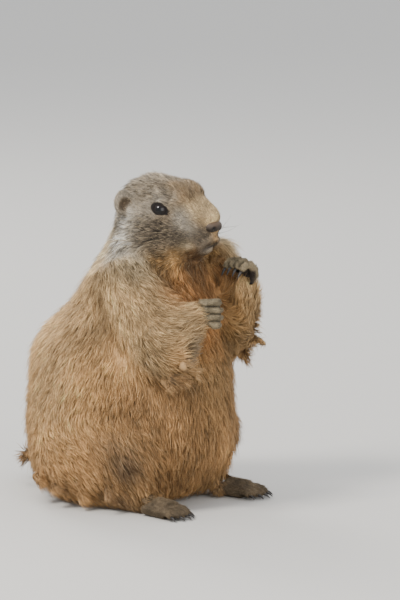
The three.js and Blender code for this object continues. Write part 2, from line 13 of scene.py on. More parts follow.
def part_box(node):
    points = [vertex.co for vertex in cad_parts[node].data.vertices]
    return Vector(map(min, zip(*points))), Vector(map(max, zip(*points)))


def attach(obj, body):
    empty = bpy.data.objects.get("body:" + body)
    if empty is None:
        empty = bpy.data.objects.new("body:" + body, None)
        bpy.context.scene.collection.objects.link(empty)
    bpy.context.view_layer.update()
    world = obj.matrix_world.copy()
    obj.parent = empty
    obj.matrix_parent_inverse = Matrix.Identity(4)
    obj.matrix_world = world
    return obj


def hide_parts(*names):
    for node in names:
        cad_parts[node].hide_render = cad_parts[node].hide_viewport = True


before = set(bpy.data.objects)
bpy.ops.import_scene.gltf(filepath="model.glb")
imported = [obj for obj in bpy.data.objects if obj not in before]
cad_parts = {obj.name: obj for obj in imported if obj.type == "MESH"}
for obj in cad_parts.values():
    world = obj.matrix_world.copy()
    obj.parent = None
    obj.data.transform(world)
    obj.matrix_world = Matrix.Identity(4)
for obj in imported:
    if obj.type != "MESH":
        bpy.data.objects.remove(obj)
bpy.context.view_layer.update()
mm = 0.001


# A point given in millimetres by its side (+1 left, -1 right), its distance out, forwards and up.
def place(side, out, front, up):
    return np.array([side * out, -front, up]) * mm


eyeSpot = {"front": 53, "up": 297}


# The same, counted from the point between the eyes.
def headPlace(side, out, front, up):
    return place(side, out, eyeSpot["front"] + front, eyeSpot["up"] + up)


def unit(vectors):
    return vectors / np.maximum(np.linalg.norm(vectors, axis=-1, keepdims=True), 1e-9)


def smoothStep(values, low, high):
    share = np.clip((values - low) / (high - low), 0, 1)
    return share * share * (3 - 2 * share)


def linear(colour):
    colour = np.asarray(colour, float)
    return np.where(colour <= 0.04045, colour / 12.92, ((colour + 0.055) / 1.055) ** 2.4)


# Camera, light and floor
view = {"azimuth": -55, "elevation": 9, "distance": 5.5, "lens": 330, "aimRight": 68, "aimUp": 197}


def makeCamera():
    a, e = math.radians(view["azimuth"]), math.radians(view["elevation"])
    right = np.array([math.cos(a), math.sin(a), 0])
    back = np.array([math.sin(a) * math.cos(e), -math.cos(a) * math.cos(e), math.sin(e)])
    up = np.cross(back, right)
    aim = (right * view["aimRight"] + up * view["aimUp"]) * mm
    data = bpy.data.cameras.new("camera")
    data.sensor_fit = "VERTICAL"
    data.sensor_height = 36
    data.lens = view["lens"]
    data.clip_end = 50
    camera = bpy.data.objects.new("camera", data)
    camera.location = aim + back * view["distance"]
    camera.rotation_euler = Vector(back).to_track_quat("Z", "Y").to_euler()
    bpy.context.collection.objects.link(camera)
    bpy.context.scene.camera = camera


studio = {
    "world": (0.92, 0.95, 1.0),
    "worldStrength": 1.3,
    "key": {"at": (-2.2, 0.5, 2.4), "power": 125, "size": 0.9, "colour": (1.0, 0.96, 0.9)},
    "fill": {"at": (-2.2, -3.6, 1.5), "power": 105, "size": 3.0, "colour": (1.0, 0.97, 0.92)},
    "rim": {"at": (1.2, 1.9, 1.9), "power": 40, "size": 0.9, "colour": (1.0, 0.98, 0.94)},
    "floor": (0.74, 0.73, 0.71),
}


def makeLight(name):
    look = studio[name]
    data = bpy.data.lights.new(name, "AREA")
    data.energy, data.size, data.color = look["power"], look["size"], look["colour"]
    light = bpy.data.objects.new(name, data)
    light.location = look["at"]
    aim = Vector(look["at"]) - Vector((0, 0, 0.17))
    light.rotation_euler = aim.to_track_quat("Z", "Y").to_euler()
    bpy.context.collection.objects.link(light)


def makeStudio():
    world = bpy.data.worlds.new("studio")
    world.use_nodes = True
    background = world.node_tree.nodes["Background"]
    background.inputs["Color"].default_value = (*studio["world"], 1)
    background.inputs["Strength"].default_value = studio["worldStrength"]
    bpy.context.scene.world = world
    for name in ("key", "fill", "rim"):
        makeLight(name)
    bpy.ops.mesh.primitive_plane_add(size=12, location=(0, 0, 0))
    floor = bpy.context.object
    floor.name = "floor"
    material = bpy.data.materials.new("floor")
    material.use_nodes = True
    shader = material.node_tree.nodes["Principled BSDF"]
    shader.inputs["Base Color"].default_value = (*linear(studio["floor"]), 1)
    shader.inputs["Roughness"].default_value = 0.85
    floor.data.materials.append(material)


# A mesh's vertices, their normals and its edges as arrays
def pointsOf(mesh):
    points = np.empty(len(mesh.vertices) * 3)
    mesh.vertices.foreach_get("co", points)
    return points.reshape(-1, 3)


def normalsOf(mesh):
    normals = np.empty(len(mesh.vertices) * 3)
    mesh.vertex_normals.foreach_get("vector", normals)
    return normals.reshape(-1, 3)


def edgesOf(mesh):
    edges = np.empty(len(mesh.edges) * 2, int)
    mesh.edges.foreach_get("vertices", edges)
    return edges.reshape(-1, 2)


def setPoints(mesh, points):
    mesh.vertices.foreach_set("co", points.ravel())
    mesh.update()


# How far along a line each point lies, from 0 at its start to 1 at its end.
def alongShare(points, start, step):
    return np.clip((points - start) @ step / (step @ step), 0, 1)


# Moves each vertex's values towards the average of its neighbours'.
def relaxed(values, edges, share, rounds):
    count = len(values)
    ends, others = np.ascontiguousarray(np.concatenate([edges, edges[:, ::-1]]).T)
    near = np.maximum(np.bincount(ends, minlength=count), 1)[:, None]
    for _ in range(rounds):
        sums = [np.bincount(ends, values[others, c], count) for c in range(values.shape[1])]
        values = values + share[:, None] * (np.stack(sums, 1) / near - values)
    return values


# Skin: the flesh nodes as one closed surface
skinLook = {
    "overlap": 1.2,  # how far each node is swollen into the next
    "slimOverlap": 0.3,  # the same for paws, feet and ears
    "voxel": 1.25,
    "kept": 0.25,  # share of the triangles that stays away from face, ears, paws and feet
    "bodySmoothing": 34,
    "detailSmoothing": 9,
    "headSmoothing": 14,
    "hemSmoothing": 30,
    "hem": {"body": 42, "arm": 190},  # the hem lies below these heights
    "seat": (26, 8),  # the seat is pressed down from the first height to the second
    "seated": 4,
    "floor": 0.4,
    "fine": 1,
}
fleshNodes = [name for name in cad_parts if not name.startswith(("claw", "eye"))]


# All flesh nodes and the eyeballs, each a little swollen so that they overlap, with the node that each
# face is from
def gatheredFlesh():
    gathered, owner = bmesh.new(), []
    for name in fleshNodes + ["eye_left", "eye_right"]:
        slim = name.startswith(("paw", "foot", "ear"))
        swell = skinLook["slimOverlap"] if slim else skinLook["overlap"]
        part = bmesh.new()
        part.from_mesh(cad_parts[name].data)
        bmesh.ops.remove_doubles(part, verts=part.verts, dist=2e-5)
        bmesh.ops.recalc_face_normals(part, faces=part.faces)
        part.normal_update()
        for vertex in part.verts:
            vertex.co += vertex.normal * swell * mm
        owner += [name] * len(part.faces)
        moved = [gathered.verts.new(vertex.co) for vertex in part.verts]
        for face in part.faces:
            gathered.faces.new([moved[vertex.index] for vertex in face.verts])
        part.free()
    return gathered, owner


def largestIsland(mesh):
    bm = bmesh.new()
    bm.from_mesh(mesh)
    unseen, islands = set(bm.verts), []
    while unseen:
        stack, island = [unseen.pop()], []
        while stack:
            vertex = stack.pop()
            island.append(vertex)
            for edge in vertex.link_edges:
                other = edge.other_vert(vertex)
                if other in unseen:
                    unseen.remove(other)
                    stack.append(other)
        islands.append(island)
    islands.sort(key=len)
    bmesh.ops.delete(bm, geom=[vertex for island in islands[:-1] for vertex in island], context="VERTS")
    return bm


# Eyes, with their place taken from the frame
eyeLook = {
    "facing": (0.9, 0.4, 0.12), "slant": 19, "half": (7.5, 4.7), "raised": 0.9, "lid": 0.8,
    "lidShares": [0.8, 0.95, 1.02, 1.25, 1.5], "lidHeights": [-2.5, -0.6, 0, 0.1, -0.3],
    "fading": (1.08, 1.75), "reach": 2.4,
}


def eyeOf(side):
    low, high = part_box("eye_left" if side > 0 else "eye_right")
    facing = unit(place(side, *eyeLook["facing"]))
    forwards = unit(np.array([0, -1, 0]) - facing * -facing[1])
    upwards = np.cross(facing, forwards) * (1 if np.cross(facing, forwards)[2] > 0 else -1)
    slant = math.radians(eyeLook["slant"])
    return {
        "centre": (np.array(low) + np.array(high)) / 2,
        "radius": (high[2] - low[2]) / 2,
        "facing": facing,
        "along": forwards * math.cos(slant) - upwards * math.sin(slant),
        "across": upwards * math.cos(slant) + forwards * math.sin(slant),
    }


eyes = {side: eyeOf(side) for side in (1, -1)}


# How far a point lies from the middle of the eye's opening: 1 on the rim of the lids.
def lidShare(points, eye):
    away = points - eye["centre"]
    x, y = away @ eye["along"] / mm, away @ eye["across"] / mm - eyeLook["raised"]
    wide, high = eyeLook["half"]
    share = np.hypot(x / (wide * np.where(x > 0, 1.12, 1)), y / (high * (1 - 0.3 * np.clip(x / wide, 0, 1))))
    return np.where(away @ eye["facing"] > 0, share, 9)


def nearestLid(points):
    return np.min([lidShare(points, eye) for eye in eyes.values()], axis=0)


def withLids(points):
    for eye in eyes.values():
        share = lidShare(points, eye)
        away = points - eye["centre"]
        reach = np.linalg.norm(away, axis=1)
        lidTop = eye["radius"] + eyeLook["lid"] * mm
        wanted = np.interp(share, eyeLook["lidShares"], np.array(eyeLook["lidHeights"]) * mm) + lidTop
        kept = smoothStep(share, *eyeLook["fading"])
        reached = wanted * (1 - kept) + reach * kept
        near = share < eyeLook["reach"]
        points[near] = (eye["centre"] + away * (reached / reach)[:, None])[near]
    return points


# Mouth: a line in the side view, in millimetres forwards and up from between the eyes
mouthLook = {
    "line": [(62, -28), (54, -29), (49, -31.5), (43, -36), (37, -39.5), (30, -41)],
    "depth": 1.7,
    "width": 0.9,
    "lip": 0.7,
    "lipAt": (2.8, 1.3),  # how far from the line the lip is highest, and its width
    "corner": (34, 44),
    "dark": (1.15, 0.9),  # width and strength of the dark along the line
}


def fromMouth(points):
    front, up = -points[:, 1] / mm - eyeSpot["front"], points[:, 2] / mm - eyeSpot["up"]
    line = np.array(mouthLook["line"], float)
    nearest = np.full(len(points), 1e9)
    for start, end in zip(line[:-1], line[1:]):
        step = end - start
        ahead, above = front - start[0], up - start[1]
        share = np.clip((ahead * step[0] + above * step[1]) / (step @ step), 0, 1)
        nearest = np.minimum(nearest, np.hypot(ahead - share * step[0], above - share * step[1]))
    return nearest, front


def withMouth(points, normals):
    distance, front = fromMouth(points)
    strength = smoothStep(front, *mouthLook["corner"])
    groove = np.exp(-((distance / mouthLook["width"]) ** 2)) * mouthLook["depth"]
    lipMiddle, lipWidth = mouthLook["lipAt"]
    lip = np.exp(-(((distance - lipMiddle) / lipWidth) ** 2)) * mouthLook["lip"]
    return points + normals * ((lip - groove) * strength * mm)[:, None]


# The places that need a finer surface, and those that are only kept from being thinned out
fineSpots = [
    (eyes[1]["centre"], 14), (eyes[-1]["centre"], 14), (headPlace(1, 0, 47, -28), 22),
    (headPlace(1, 12, 36, -38), 12), (headPlace(-1, 12, 36, -38), 12),
    (place(1, 40, 110, 240), 17), (place(-1, 22, 112, 202), 18),
]
keptSpots = [
    (place(1, 42, 106, 230), 30), (place(-1, 28, 108, 200), 32), (headPlace(1, 0, 25, -15), 50),
    (headPlace(1, 38, -30, 6), 20), (headPlace(-1, 38, -30, 6), 20),
    (place(1, 66, 90, 8), 36), (place(-1, 66, 90, 8), 36),
]


def nearSpots(points, spots):
    return np.any([np.linalg.norm(points - centre, axis=1) < reach * mm for centre, reach in spots], axis=0)


def evaluatedMesh(piece):
    return bpy.data.meshes.new_from_object(piece.evaluated_get(bpy.context.evaluated_depsgraph_get()))


def makeSkin():
    gathered, owner = gatheredFlesh()
    tree = BVHTree.FromBMesh(gathered)
    source = bpy.data.meshes.new("flesh")
    gathered.to_mesh(source)
    gathered.free()
    flesh = bpy.data.objects.new("flesh", source)
    bpy.context.collection.objects.link(flesh)
    remesh = flesh.modifiers.new("remesh", "REMESH")
    remesh.mode = "VOXEL"
    remesh.voxel_size = skinLook["voxel"] * mm
    flesh.data = evaluatedMesh(flesh)
    flesh.modifiers.clear()
    group = flesh.vertex_groups.new(name="kept")
    kept = np.flatnonzero(nearSpots(pointsOf(flesh.data), keptSpots + fineSpots))
    group.add(kept.tolist(), 1.0, "REPLACE")
    thinned = flesh.modifiers.new("thinned", "DECIMATE")
    thinned.ratio = skinLook["kept"]
    thinned.vertex_group = "kept"
    thinned.invert_vertex_group = True
    found = evaluatedMesh(flesh)
    bpy.data.objects.remove(flesh)
    bm = largestIsland(found)
    bm.verts.index_update()
    fine = nearSpots(np.array([vertex.co for vertex in bm.verts]), fineSpots)
    for _ in range(skinLook["fine"]):
        edges = [edge for edge in bm.edges if all(fine[vertex.index] for vertex in edge.verts)]
        bmesh.ops.subdivide_edges(bm, edges=edges, cuts=1, use_grid_fill=True)
        print("skin: edges cut finer", len(edges))
    bmesh.ops.triangulate(bm, faces=bm.faces)
    mesh = bpy.data.meshes.new("skin")
    bm.to_mesh(mesh)
    bm.free()
    points, edges = pointsOf(mesh), edgesOf(mesh)
    nodes = np.array([owner[tree.find_nearest(Vector(point))[2]] for point in points])
    return mesh, points, edges, nodes


skinMesh, skinPoints, skinEdges, skinNodes = makeSkin()
print("skin: vertices", len(skinPoints), "triangles", len(skinMesh.polygons))


def among(*starts):
    return np.array([name.startswith(starts) for name in skinNodes])


isPaw, isFoot = among("paw"), among("foot")
isEar, isHead = among("ear"), among("head", "jaw", "nose", "eye")
isTail, isArm = among("tail"), among("upper_arm", "forearm")

# Where the unsettled skin lies: out from the middle, and forwards and up from between the eyes
skinOut = np.abs(skinPoints[:, 0]) / mm
skinFront, skinUp = -skinPoints[:, 1] / mm - eyeSpot["front"], skinPoints[:, 2] / mm - eyeSpot["up"]

# Coat: hair length in millimetres for each part of the body
coatLength = {
    "body": 14.5, "chest": 15, "arm": 14, "neck": 12, "tail": 14, "tailTip": 8,
    "ear": 3.2, "paw": 2.2, "foot": 3.2, "earMost": 4, "pawMost": 2.8,
    "head": ([-45, -20, 0, 20, 36, 50], [11, 9, 7, 5.2, 3.6, 2.4]),
    "nearEar": {"middle": (42, -28, 5), "from": 9, "least": 2.6, "growth": 0.32},
    "nearEye": {"from": 1.2, "least": 1.3, "growth": 3.6},
}


# The distance in millimetres to a place on the head, or to the same place on the other side.
def headDistance(points, spot):
    return np.min([np.linalg.norm(points - headPlace(side, *spot), axis=1) for side in (1, -1)], axis=0) / mm


def hairLengths():
    lengths = np.full(len(skinPoints), float(coatLength["body"]))
    lengths[isArm] = coatLength["arm"]
    lengths[among("neck")] = coatLength["neck"]
    lengths[among("chest")] = coatLength["chest"]
    tailLengths = [coatLength["tail"], coatLength["tailTip"]]
    lengths[isTail] = np.interp(skinPoints[isTail, 0] / mm, [50, 110], tailLengths)
    lengths[isPaw] = coatLength["paw"]
    lengths[isFoot] = coatLength["foot"]
    lengths[isHead] = np.interp(skinFront, *coatLength["head"])[isHead]
    lengths[isEar] = coatLength["ear"]
    lengths = relaxed(lengths[:, None], skinEdges, np.full(len(skinPoints), 0.6), 10)[:, 0]
    lengths[isEar] = np.minimum(lengths[isEar], coatLength["earMost"])
    lengths[isPaw] = np.minimum(lengths[isPaw], coatLength["pawMost"])
    ear, eye = coatLength["nearEar"], coatLength["nearEye"]
    earAway = np.maximum(headDistance(skinPoints, ear["middle"]) - ear["from"], 0)
    eyeAway = np.maximum(nearestLid(skinPoints) - eye["from"], 0)
    lengths = np.minimum(lengths, ear["least"] + ear["growth"] * earAway)
    return np.minimum(lengths, eye["least"] + eye["growth"] * eyeAway)


lengths = hairLengths()

# How deep the skin lies in the solids: a share of the hair's length, or millimetres
skinDepth = {"share": 0.24, "head": 0.12, "ear": 0.1, "paw": 0.1, "foot": 0.3, "nose": 1.2, "noseTop": 0.2}

# Forms modelled on the skin: place out, forwards and up, reach and height in millimetres
forms = {
    "brow": ((25, 56, 308), 7, 1.5),
    "underEye": ((30, 60, 286), 7, 0.8),
    "whiskerPad": ((12, 91, 273), 8, 1.8),
    "bridge": ((0, 88, 303), 12, 1.6),
    "bulb": ((0, 100, 291), 7, 2.6),
    "chin": ((0, 92, 254), 10, 2.6),
    "jaw": ((14, 84, 254), 10, 1.2),
    "outerElbow": ((74, 100, 160), 16, -3.0),
}
creases = {"arm": (("upper_arm", "forearm"), 5.5), "haunch": (("thigh",), 2.2), "paw": (("paw",), 0.6)}

# The flesh without its locks of hair, in millimetres out, forwards and up: ellipsoids (middle, half sizes),
# round cones (from, radius, to, radius) and the tail's stops (out, forwards, up, radius)
fleshForms = {
    "trunk": [
        ((0, -18, 36), (87, 95, 52)), ((0, -2, 78), (96, 113, 80)), ((0, 0, 130), (93, 109, 84)),
        ((0, 20, 200), (70, 70, 62)), ((0, 28, 230), (60, 46, 40)),
    ],
    "nape": [((0, 29, 278), 40, (0, 28, 236), 45)],
    "thigh": [((50, -8, 58), 54, (66, 46, 62), 33), ((66, 46, 62), 32, (62, 46, 20), 20)],
    "armLeft": [
        ((60, 50, 238), 32, (70, 79, 172), 26), ((70, 79, 172), 24, (60, 92.5, 195), 20),
        ((60, 92.5, 195), 21, (50, 106, 218), 13),
    ],
    "armRight": [
        ((58, 28, 235), 30, (69, 92, 172), 33), ((69, 92, 172), 31, (53, 94.5, 186), 27),
        ((53, 94.5, 186), 22, (37, 97, 200), 14),
    ],
    "tail": [
        (0, -70, 34, 17), (4, -98, 24, 19), (22, -124, 20, 20), (56, -138, 18, 20), (92, -132, 15, 15),
        (118, -114, 10, 7),
    ],
    "blend": 18,
    "proud": 0.6,
    "head": (262, 246),  # nothing is drawn in above the first height, and all of it below the second
}


def coneDistance(points, side, cone):
    start, startRadius, end, endRadius = cone
    start, end = place(side, *start) / mm, place(side, *end) / mm
    share = alongShare(points, start, end - start)
    away = np.linalg.norm(points - start - share[:, None] * (end - start), axis=1)
    return away - startRadius - share * (endRadius - startRadius)


def ovalDistance(points, middle, half):
    away, half = points - place(1, *middle) / mm, np.array(half)
    near = np.linalg.norm(away / half, axis=1)
    return near * (near - 1) / np.maximum(np.linalg.norm(away / half ** 2, axis=1), 1e-6)


def fleshDistance(points):
    blend = fleshForms["blend"]
    parts = [ovalDistance(points, *oval) for oval in fleshForms["trunk"]]
    for name, sides in (("nape", (1,)), ("thigh", (1, -1)), ("armLeft", (1,)), ("armRight", (-1,))):
        parts += [coneDistance(points, side, cone) for cone in fleshForms[name] for side in sides]
    found = parts[0]
    for part in parts[1:]:
        share = np.maximum(blend - np.abs(found - part), 0) / blend
        found = np.minimum(found, part) - share ** 2 * blend / 4
    return found


def tailDrawnIn(points):
    stops = [(place(1, *stop[:3]) / mm, stop[3]) for stop in fleshForms["tail"]]
    best = np.full(len(points), 1e9)
    centre, radius = np.zeros_like(points), np.zeros(len(points))
    for (start, startRadius), (end, endRadius) in zip(stops[:-1], stops[1:]):
        share = alongShare(points, start, end - start)
        near = start + share[:, None] * (end - start)
        away = np.linalg.norm(points - near, axis=1)
        closer = away < best
        best[closer], centre[closer] = away[closer], near[closer]
        radius[closer] = (startRadius + share * (endRadius - startRadius))[closer]
    return centre + (points - centre) * np.minimum(radius / np.maximum(best, 1e-6), 1)[:, None]


# Draws in what stands proud of the flesh, so that the locks leave lower lumps on the skin
def withoutLocks(points):
    points = points / mm
    share = smoothStep(points[:, 2], *fleshForms["head"]) * ~(isPaw | isFoot | isTail | isEar)
    for _ in range(3):
        here = fleshDistance(points)
        slope = np.stack([fleshDistance(points + step) - here for step in np.eye(3) * 0.5], 1) / 0.5
        points = points - slope * (np.maximum(here - fleshForms["proud"], 0) * share)[:, None]
    points[isTail] = tailDrawnIn(points)[isTail]
    return points * mm


# Smooths without making the shape any smaller
def evened(points, share, rounds):
    for _ in range(rounds):
        points = relaxed(points, skinEdges, share * 0.55, 1)
        points = relaxed(points, skinEdges, share * -0.57, 1)
    return points


# Paws: the clefts between the digits and the bare pads, in millimetres across and along each paw from
# its wrist
pawLook = {
    1: {"wrist": (50, 106, 218), "along": (-0.1, 0.02, 0.97), "palm": (-1, -0.15, 0.1)},
    -1: {"wrist": (37, 97, 200), "along": (-0.25, 0.9, 0.02), "palm": (-1, -0.35, -0.15)},
    # shade: how much darker the clefts are painted, a painted shade in the creases between the digits
    "clefts": (-7.2, 0, 7.2), "width": 0.95, "depth": 1.5, "shade": 0.5,
    "digits": {"along": (7, 12), "palm": (6, 10)}, "pads": {"along": (15, 19), "palm": (1, 4)},
}


def pawShares(points, side):
    look = pawLook[side]
    along = unit(place(side, *look["along"]))
    palm = place(side, *look["palm"])
    palm = unit(palm - along * (palm @ along))
    away = (points - place(side, *look["wrist"])) / mm
    ahead, inner, across = away @ along, away @ palm, away @ np.cross(along, palm)
    clefts = [np.exp(-(((across - spot) / pawLook["width"]) ** 2)) for spot in pawLook["clefts"]]
    digits, pads = pawLook["digits"], pawLook["pads"]
    digits = np.maximum(smoothStep(ahead, *digits["along"]), smoothStep(inner, *digits["palm"]))
    pads = smoothStep(inner, *pads["palm"]) * (1 - smoothStep(ahead, *pads["along"]))
    return np.max(clefts, axis=0) * digits, pads


def pawMasks(points):
    clefts, pads = np.zeros(len(points)), np.zeros(len(points))
    for side, name in ((1, "paw_left"), (-1, "paw_right")):
        mask = among(name)
        clefts[mask], pads[mask] = pawShares(points[mask], side)
    return clefts, pads


# No fold at the shoulders: between these heights, and between these places forwards, it fades out
shoulder = {"up": (205, 250), "front": (75, 45)}


# The folds where limbs meet the body, as a share that is 1 along the fold
def foldShare(starts):
    inside = among(*starts)
    crossing = inside[skinEdges[:, 0]] != inside[skinEdges[:, 1]]
    share = np.zeros(len(skinPoints))
    share[skinEdges[crossing].ravel()] = 1
    share = relaxed(share[:, None], skinEdges, np.full(len(share), 0.7), 8)[:, 0]
    high = smoothStep(skinPoints[:, 2] / mm, *shoulder["up"])
    behind = smoothStep(-skinPoints[:, 1] / mm, *shoulder["front"])
    return np.clip(share / 0.3, 0, 1) * (1 - high * behind)


# The smooth skin, as deep under the solids as the coat is thick
def settledSkin(points):
    count = len(points)
    detail = isPaw | isFoot | isEar | isHead
    detail = relaxed(np.where(detail, 1.0, 0.0)[:, None], skinEdges, np.full(count, 0.6), 8)[:, 0]
    points = withoutLocks(points)
    points = evened(points, np.full(count, 1.0), skinLook["detailSmoothing"])
    points = relaxed(points, skinEdges, 0.6 * (1 - detail), skinLook["bodySmoothing"])
    points = evened(points, np.where(isHead, 1.0, 0.0), skinLook["headSmoothing"])
    height, low = skinPoints[:, 2] / mm, among("thigh", "belly", "tail")
    hem = (low & (height < skinLook["hem"]["body"])) | (isArm & (height < skinLook["hem"]["arm"]))
    hem = relaxed(np.where(hem, 1.0, 0.0)[:, None], skinEdges, np.full(count, 0.6), 8)[:, 0]
    points = relaxed(points, skinEdges, 0.7 * hem * (1 - detail), skinLook["hemSmoothing"])
    points[:, 2] -= smoothStep(points[:, 2] / mm, *skinLook["seat"]) * low * skinLook["seated"] * mm
    setPoints(skinMesh, points)
    depth = lengths * skinDepth["share"]
    depth[isHead] = lengths[isHead] * skinDepth["head"]
    depth[isEar], depth[isPaw], depth[isFoot] = skinDepth["ear"], skinDepth["paw"], skinDepth["foot"]
    nose = among("nose")
    depth[nose] = np.where(skinUp[nose] > -10, skinDepth["noseTop"], skinDepth["nose"])
    slim = isPaw | isFoot | isEar
    depth += np.where(slim, skinLook["slimOverlap"], skinLook["overlap"])
    depth = relaxed(depth[:, None], skinEdges, np.full(count, 0.5), 8)[:, 0]
    for starts, fold in creases.values():
        depth += foldShare(starts) * fold
    spot = np.stack([skinOut, -points[:, 1] / mm, points[:, 2] / mm], 1)
    for centre, reach, height in forms.values():
        depth -= height * np.exp(-((np.linalg.norm(spot - centre, axis=1) / reach) ** 2))
    points = points - normalsOf(skinMesh) * depth[:, None] * mm
    points = withLids(points)
    setPoints(skinMesh, points)
    points = withMouth(points, normalsOf(skinMesh))
    points = points - normalsOf(skinMesh) * (pawMasks(points)[0] * pawLook["depth"] * mm)[:, None]
    points[:, 2] = np.maximum(points[:, 2], skinLook["floor"] * mm)
    setPoints(skinMesh, points)
    return points


skinPoints = settledSkin(skinPoints)
skinNormals = normalsOf(skinMesh)
broad = ~(isHead | isPaw | isFoot | isEar)  # here the coat stands on the broad form, not on small folds
skinNormals[broad] = unit(relaxed(skinNormals, skinEdges, np.full(len(skinNormals), 0.6), 45))[broad]
print("skin: settled")

# Lie of the coat: strokes from place to place, in millimetres out, forwards and up, each side alike
strokes = {
    "head": [
        [(0, 106, 284), (0, 84, 314), (0, 40, 328), (0, 5, 306)], [(12, 100, 275), (26, 58, 292)],
        [(26, 58, 296), (36, 25, 300)], [(14, 96, 262), (36, 48, 268), (46, 18, 252)],
        [(0, 95, 251), (0, 72, 246)], [(12, 90, 252), (28, 62, 250)],
    ],
    "body": [
        [(0, 5, 306), (0, -40, 240), (0, -95, 150), (0, -100, 60), (0, -85, 10)],
        [(40, 20, 285), (52, 12, 250), (64, 4, 215), (86, -4, 165), (94, -10, 110), (90, -15, 40)],
        [(58, -50, 200), (74, -72, 120), (70, -78, 30)], [(30, 74, 245), (34, 88, 205)],
        [(0, 75, 245), (0, 88, 200), (0, 104, 150), (0, 112, 90), (0, 98, 25)],
        [(70, 74, 130), (78, 80, 85), (76, 74, 25)],
    ],
    "thigh": [[(70, -50, 90), (78, 0, 70)], [(78, 0, 75), (78, 40, 45)], [(78, 40, 50), (74, 52, 15)]],
    "foot": [[(62, 40, 16), (65, 95, 12), (68, 122, 6)]],
    "tail": [[(0, -70, 34), (4, -98, 24), (22, -124, 20), (56, -138, 18), (92, -132, 15), (118, -114, 9)]],
    "ear": [[(36, 24, 292), (40, 14, 314)]],
}
armStrokes = {
    1: [
        [(56, 40, 252), (68, 72, 190), (70, 92, 160)], [(72, 96, 172), (52, 108, 212)],
        [(50, 106, 218), (48, 106, 238), (30, 108, 246)],
    ],
    -1: [
        [(56, 22, 250), (66, 70, 192), (70, 104, 158)], [(72, 108, 172), (42, 100, 200)],
        [(37, 97, 200), (30, 112, 200), (14, 120, 196)],
    ],
}
strokeReach = {"head": 20, "body": 34, "thigh": 24, "foot": 12, "tail": 22, "ear": 12, "arm": 26}


def lieAlong(points, routes, reach, sides=(1, -1)):
    lie = np.zeros_like(points)
    for route in routes:
        for start, end in zip(route[:-1], route[1:]):
            for side in sides:
                first, step = place(side, *start), place(side, *end) - place(side, *start)
                near = first + alongShare(points, first, step)[:, None] * step
                away = np.linalg.norm(points - near, axis=1)
                lie += unit(step) * (np.exp(-((away / (reach * mm)) ** 2)) + 1e-6)[:, None]
    return lie


# Which strokes guide which nodes
def coatLie():
    lie = lieAlong(skinPoints, strokes["body"], strokeReach["body"])
    for mask, name in ((isHead, "head"), (among("thigh"), "thigh"), (isFoot, "foot"), (isEar, "ear")):
        lie[mask] = lieAlong(skinPoints[mask], strokes[name], strokeReach[name])
    lie[isTail] = lieAlong(skinPoints[isTail], strokes["tail"], strokeReach["tail"], (1,))
    for side, name in ((1, "left"), (-1, "right")):
        mask = among("upper_arm_" + name, "forearm_" + name, "paw_" + name)
        lie[mask] = lieAlong(skinPoints[mask], armStrokes[side], strokeReach["arm"], (side,))
    lie = unit(relaxed(unit(lie), skinEdges, np.full(len(lie), 0.6), 10))
    lie -= skinNormals * np.sum(lie * skinNormals, axis=1)[:, None]
    return unit(lie)


skinLie = coatLie()
print("coat: combed")

# Markings: named hues, and where each lies: out, forwards and up, and its reach, in millimetres
hues = {
    "tan": (0.74, 0.60, 0.42), "grizzle": (0.56, 0.52, 0.46), "fawn": (0.45, 0.37, 0.27),
    "sand": (0.74, 0.64, 0.48), "ash": (0.78, 0.76, 0.72), "frost": (0.58, 0.55, 0.50),
    "dusk": (0.37, 0.33, 0.28), "umber": (0.38, 0.28, 0.18), "rust": (0.70, 0.49, 0.29),
    "ochre": (0.62, 0.48, 0.30), "cream": (0.78, 0.70, 0.56), "buff": (0.78, 0.65, 0.47),
    "pale": (0.87, 0.72, 0.52), "gold": (0.80, 0.63, 0.42), "brown": (0.69, 0.53, 0.35),
    "soot": (0.45, 0.36, 0.27), "dark": (0.17, 0.135, 0.11), "paw": (0.60, 0.54, 0.43),
    "pad": (0.20, 0.165, 0.145), "lid": (0.09, 0.07, 0.06), "lip": (0.14, 0.11, 0.095),
    "black": (0.05, 0.042, 0.038), "foot": (0.42, 0.36, 0.28),
}
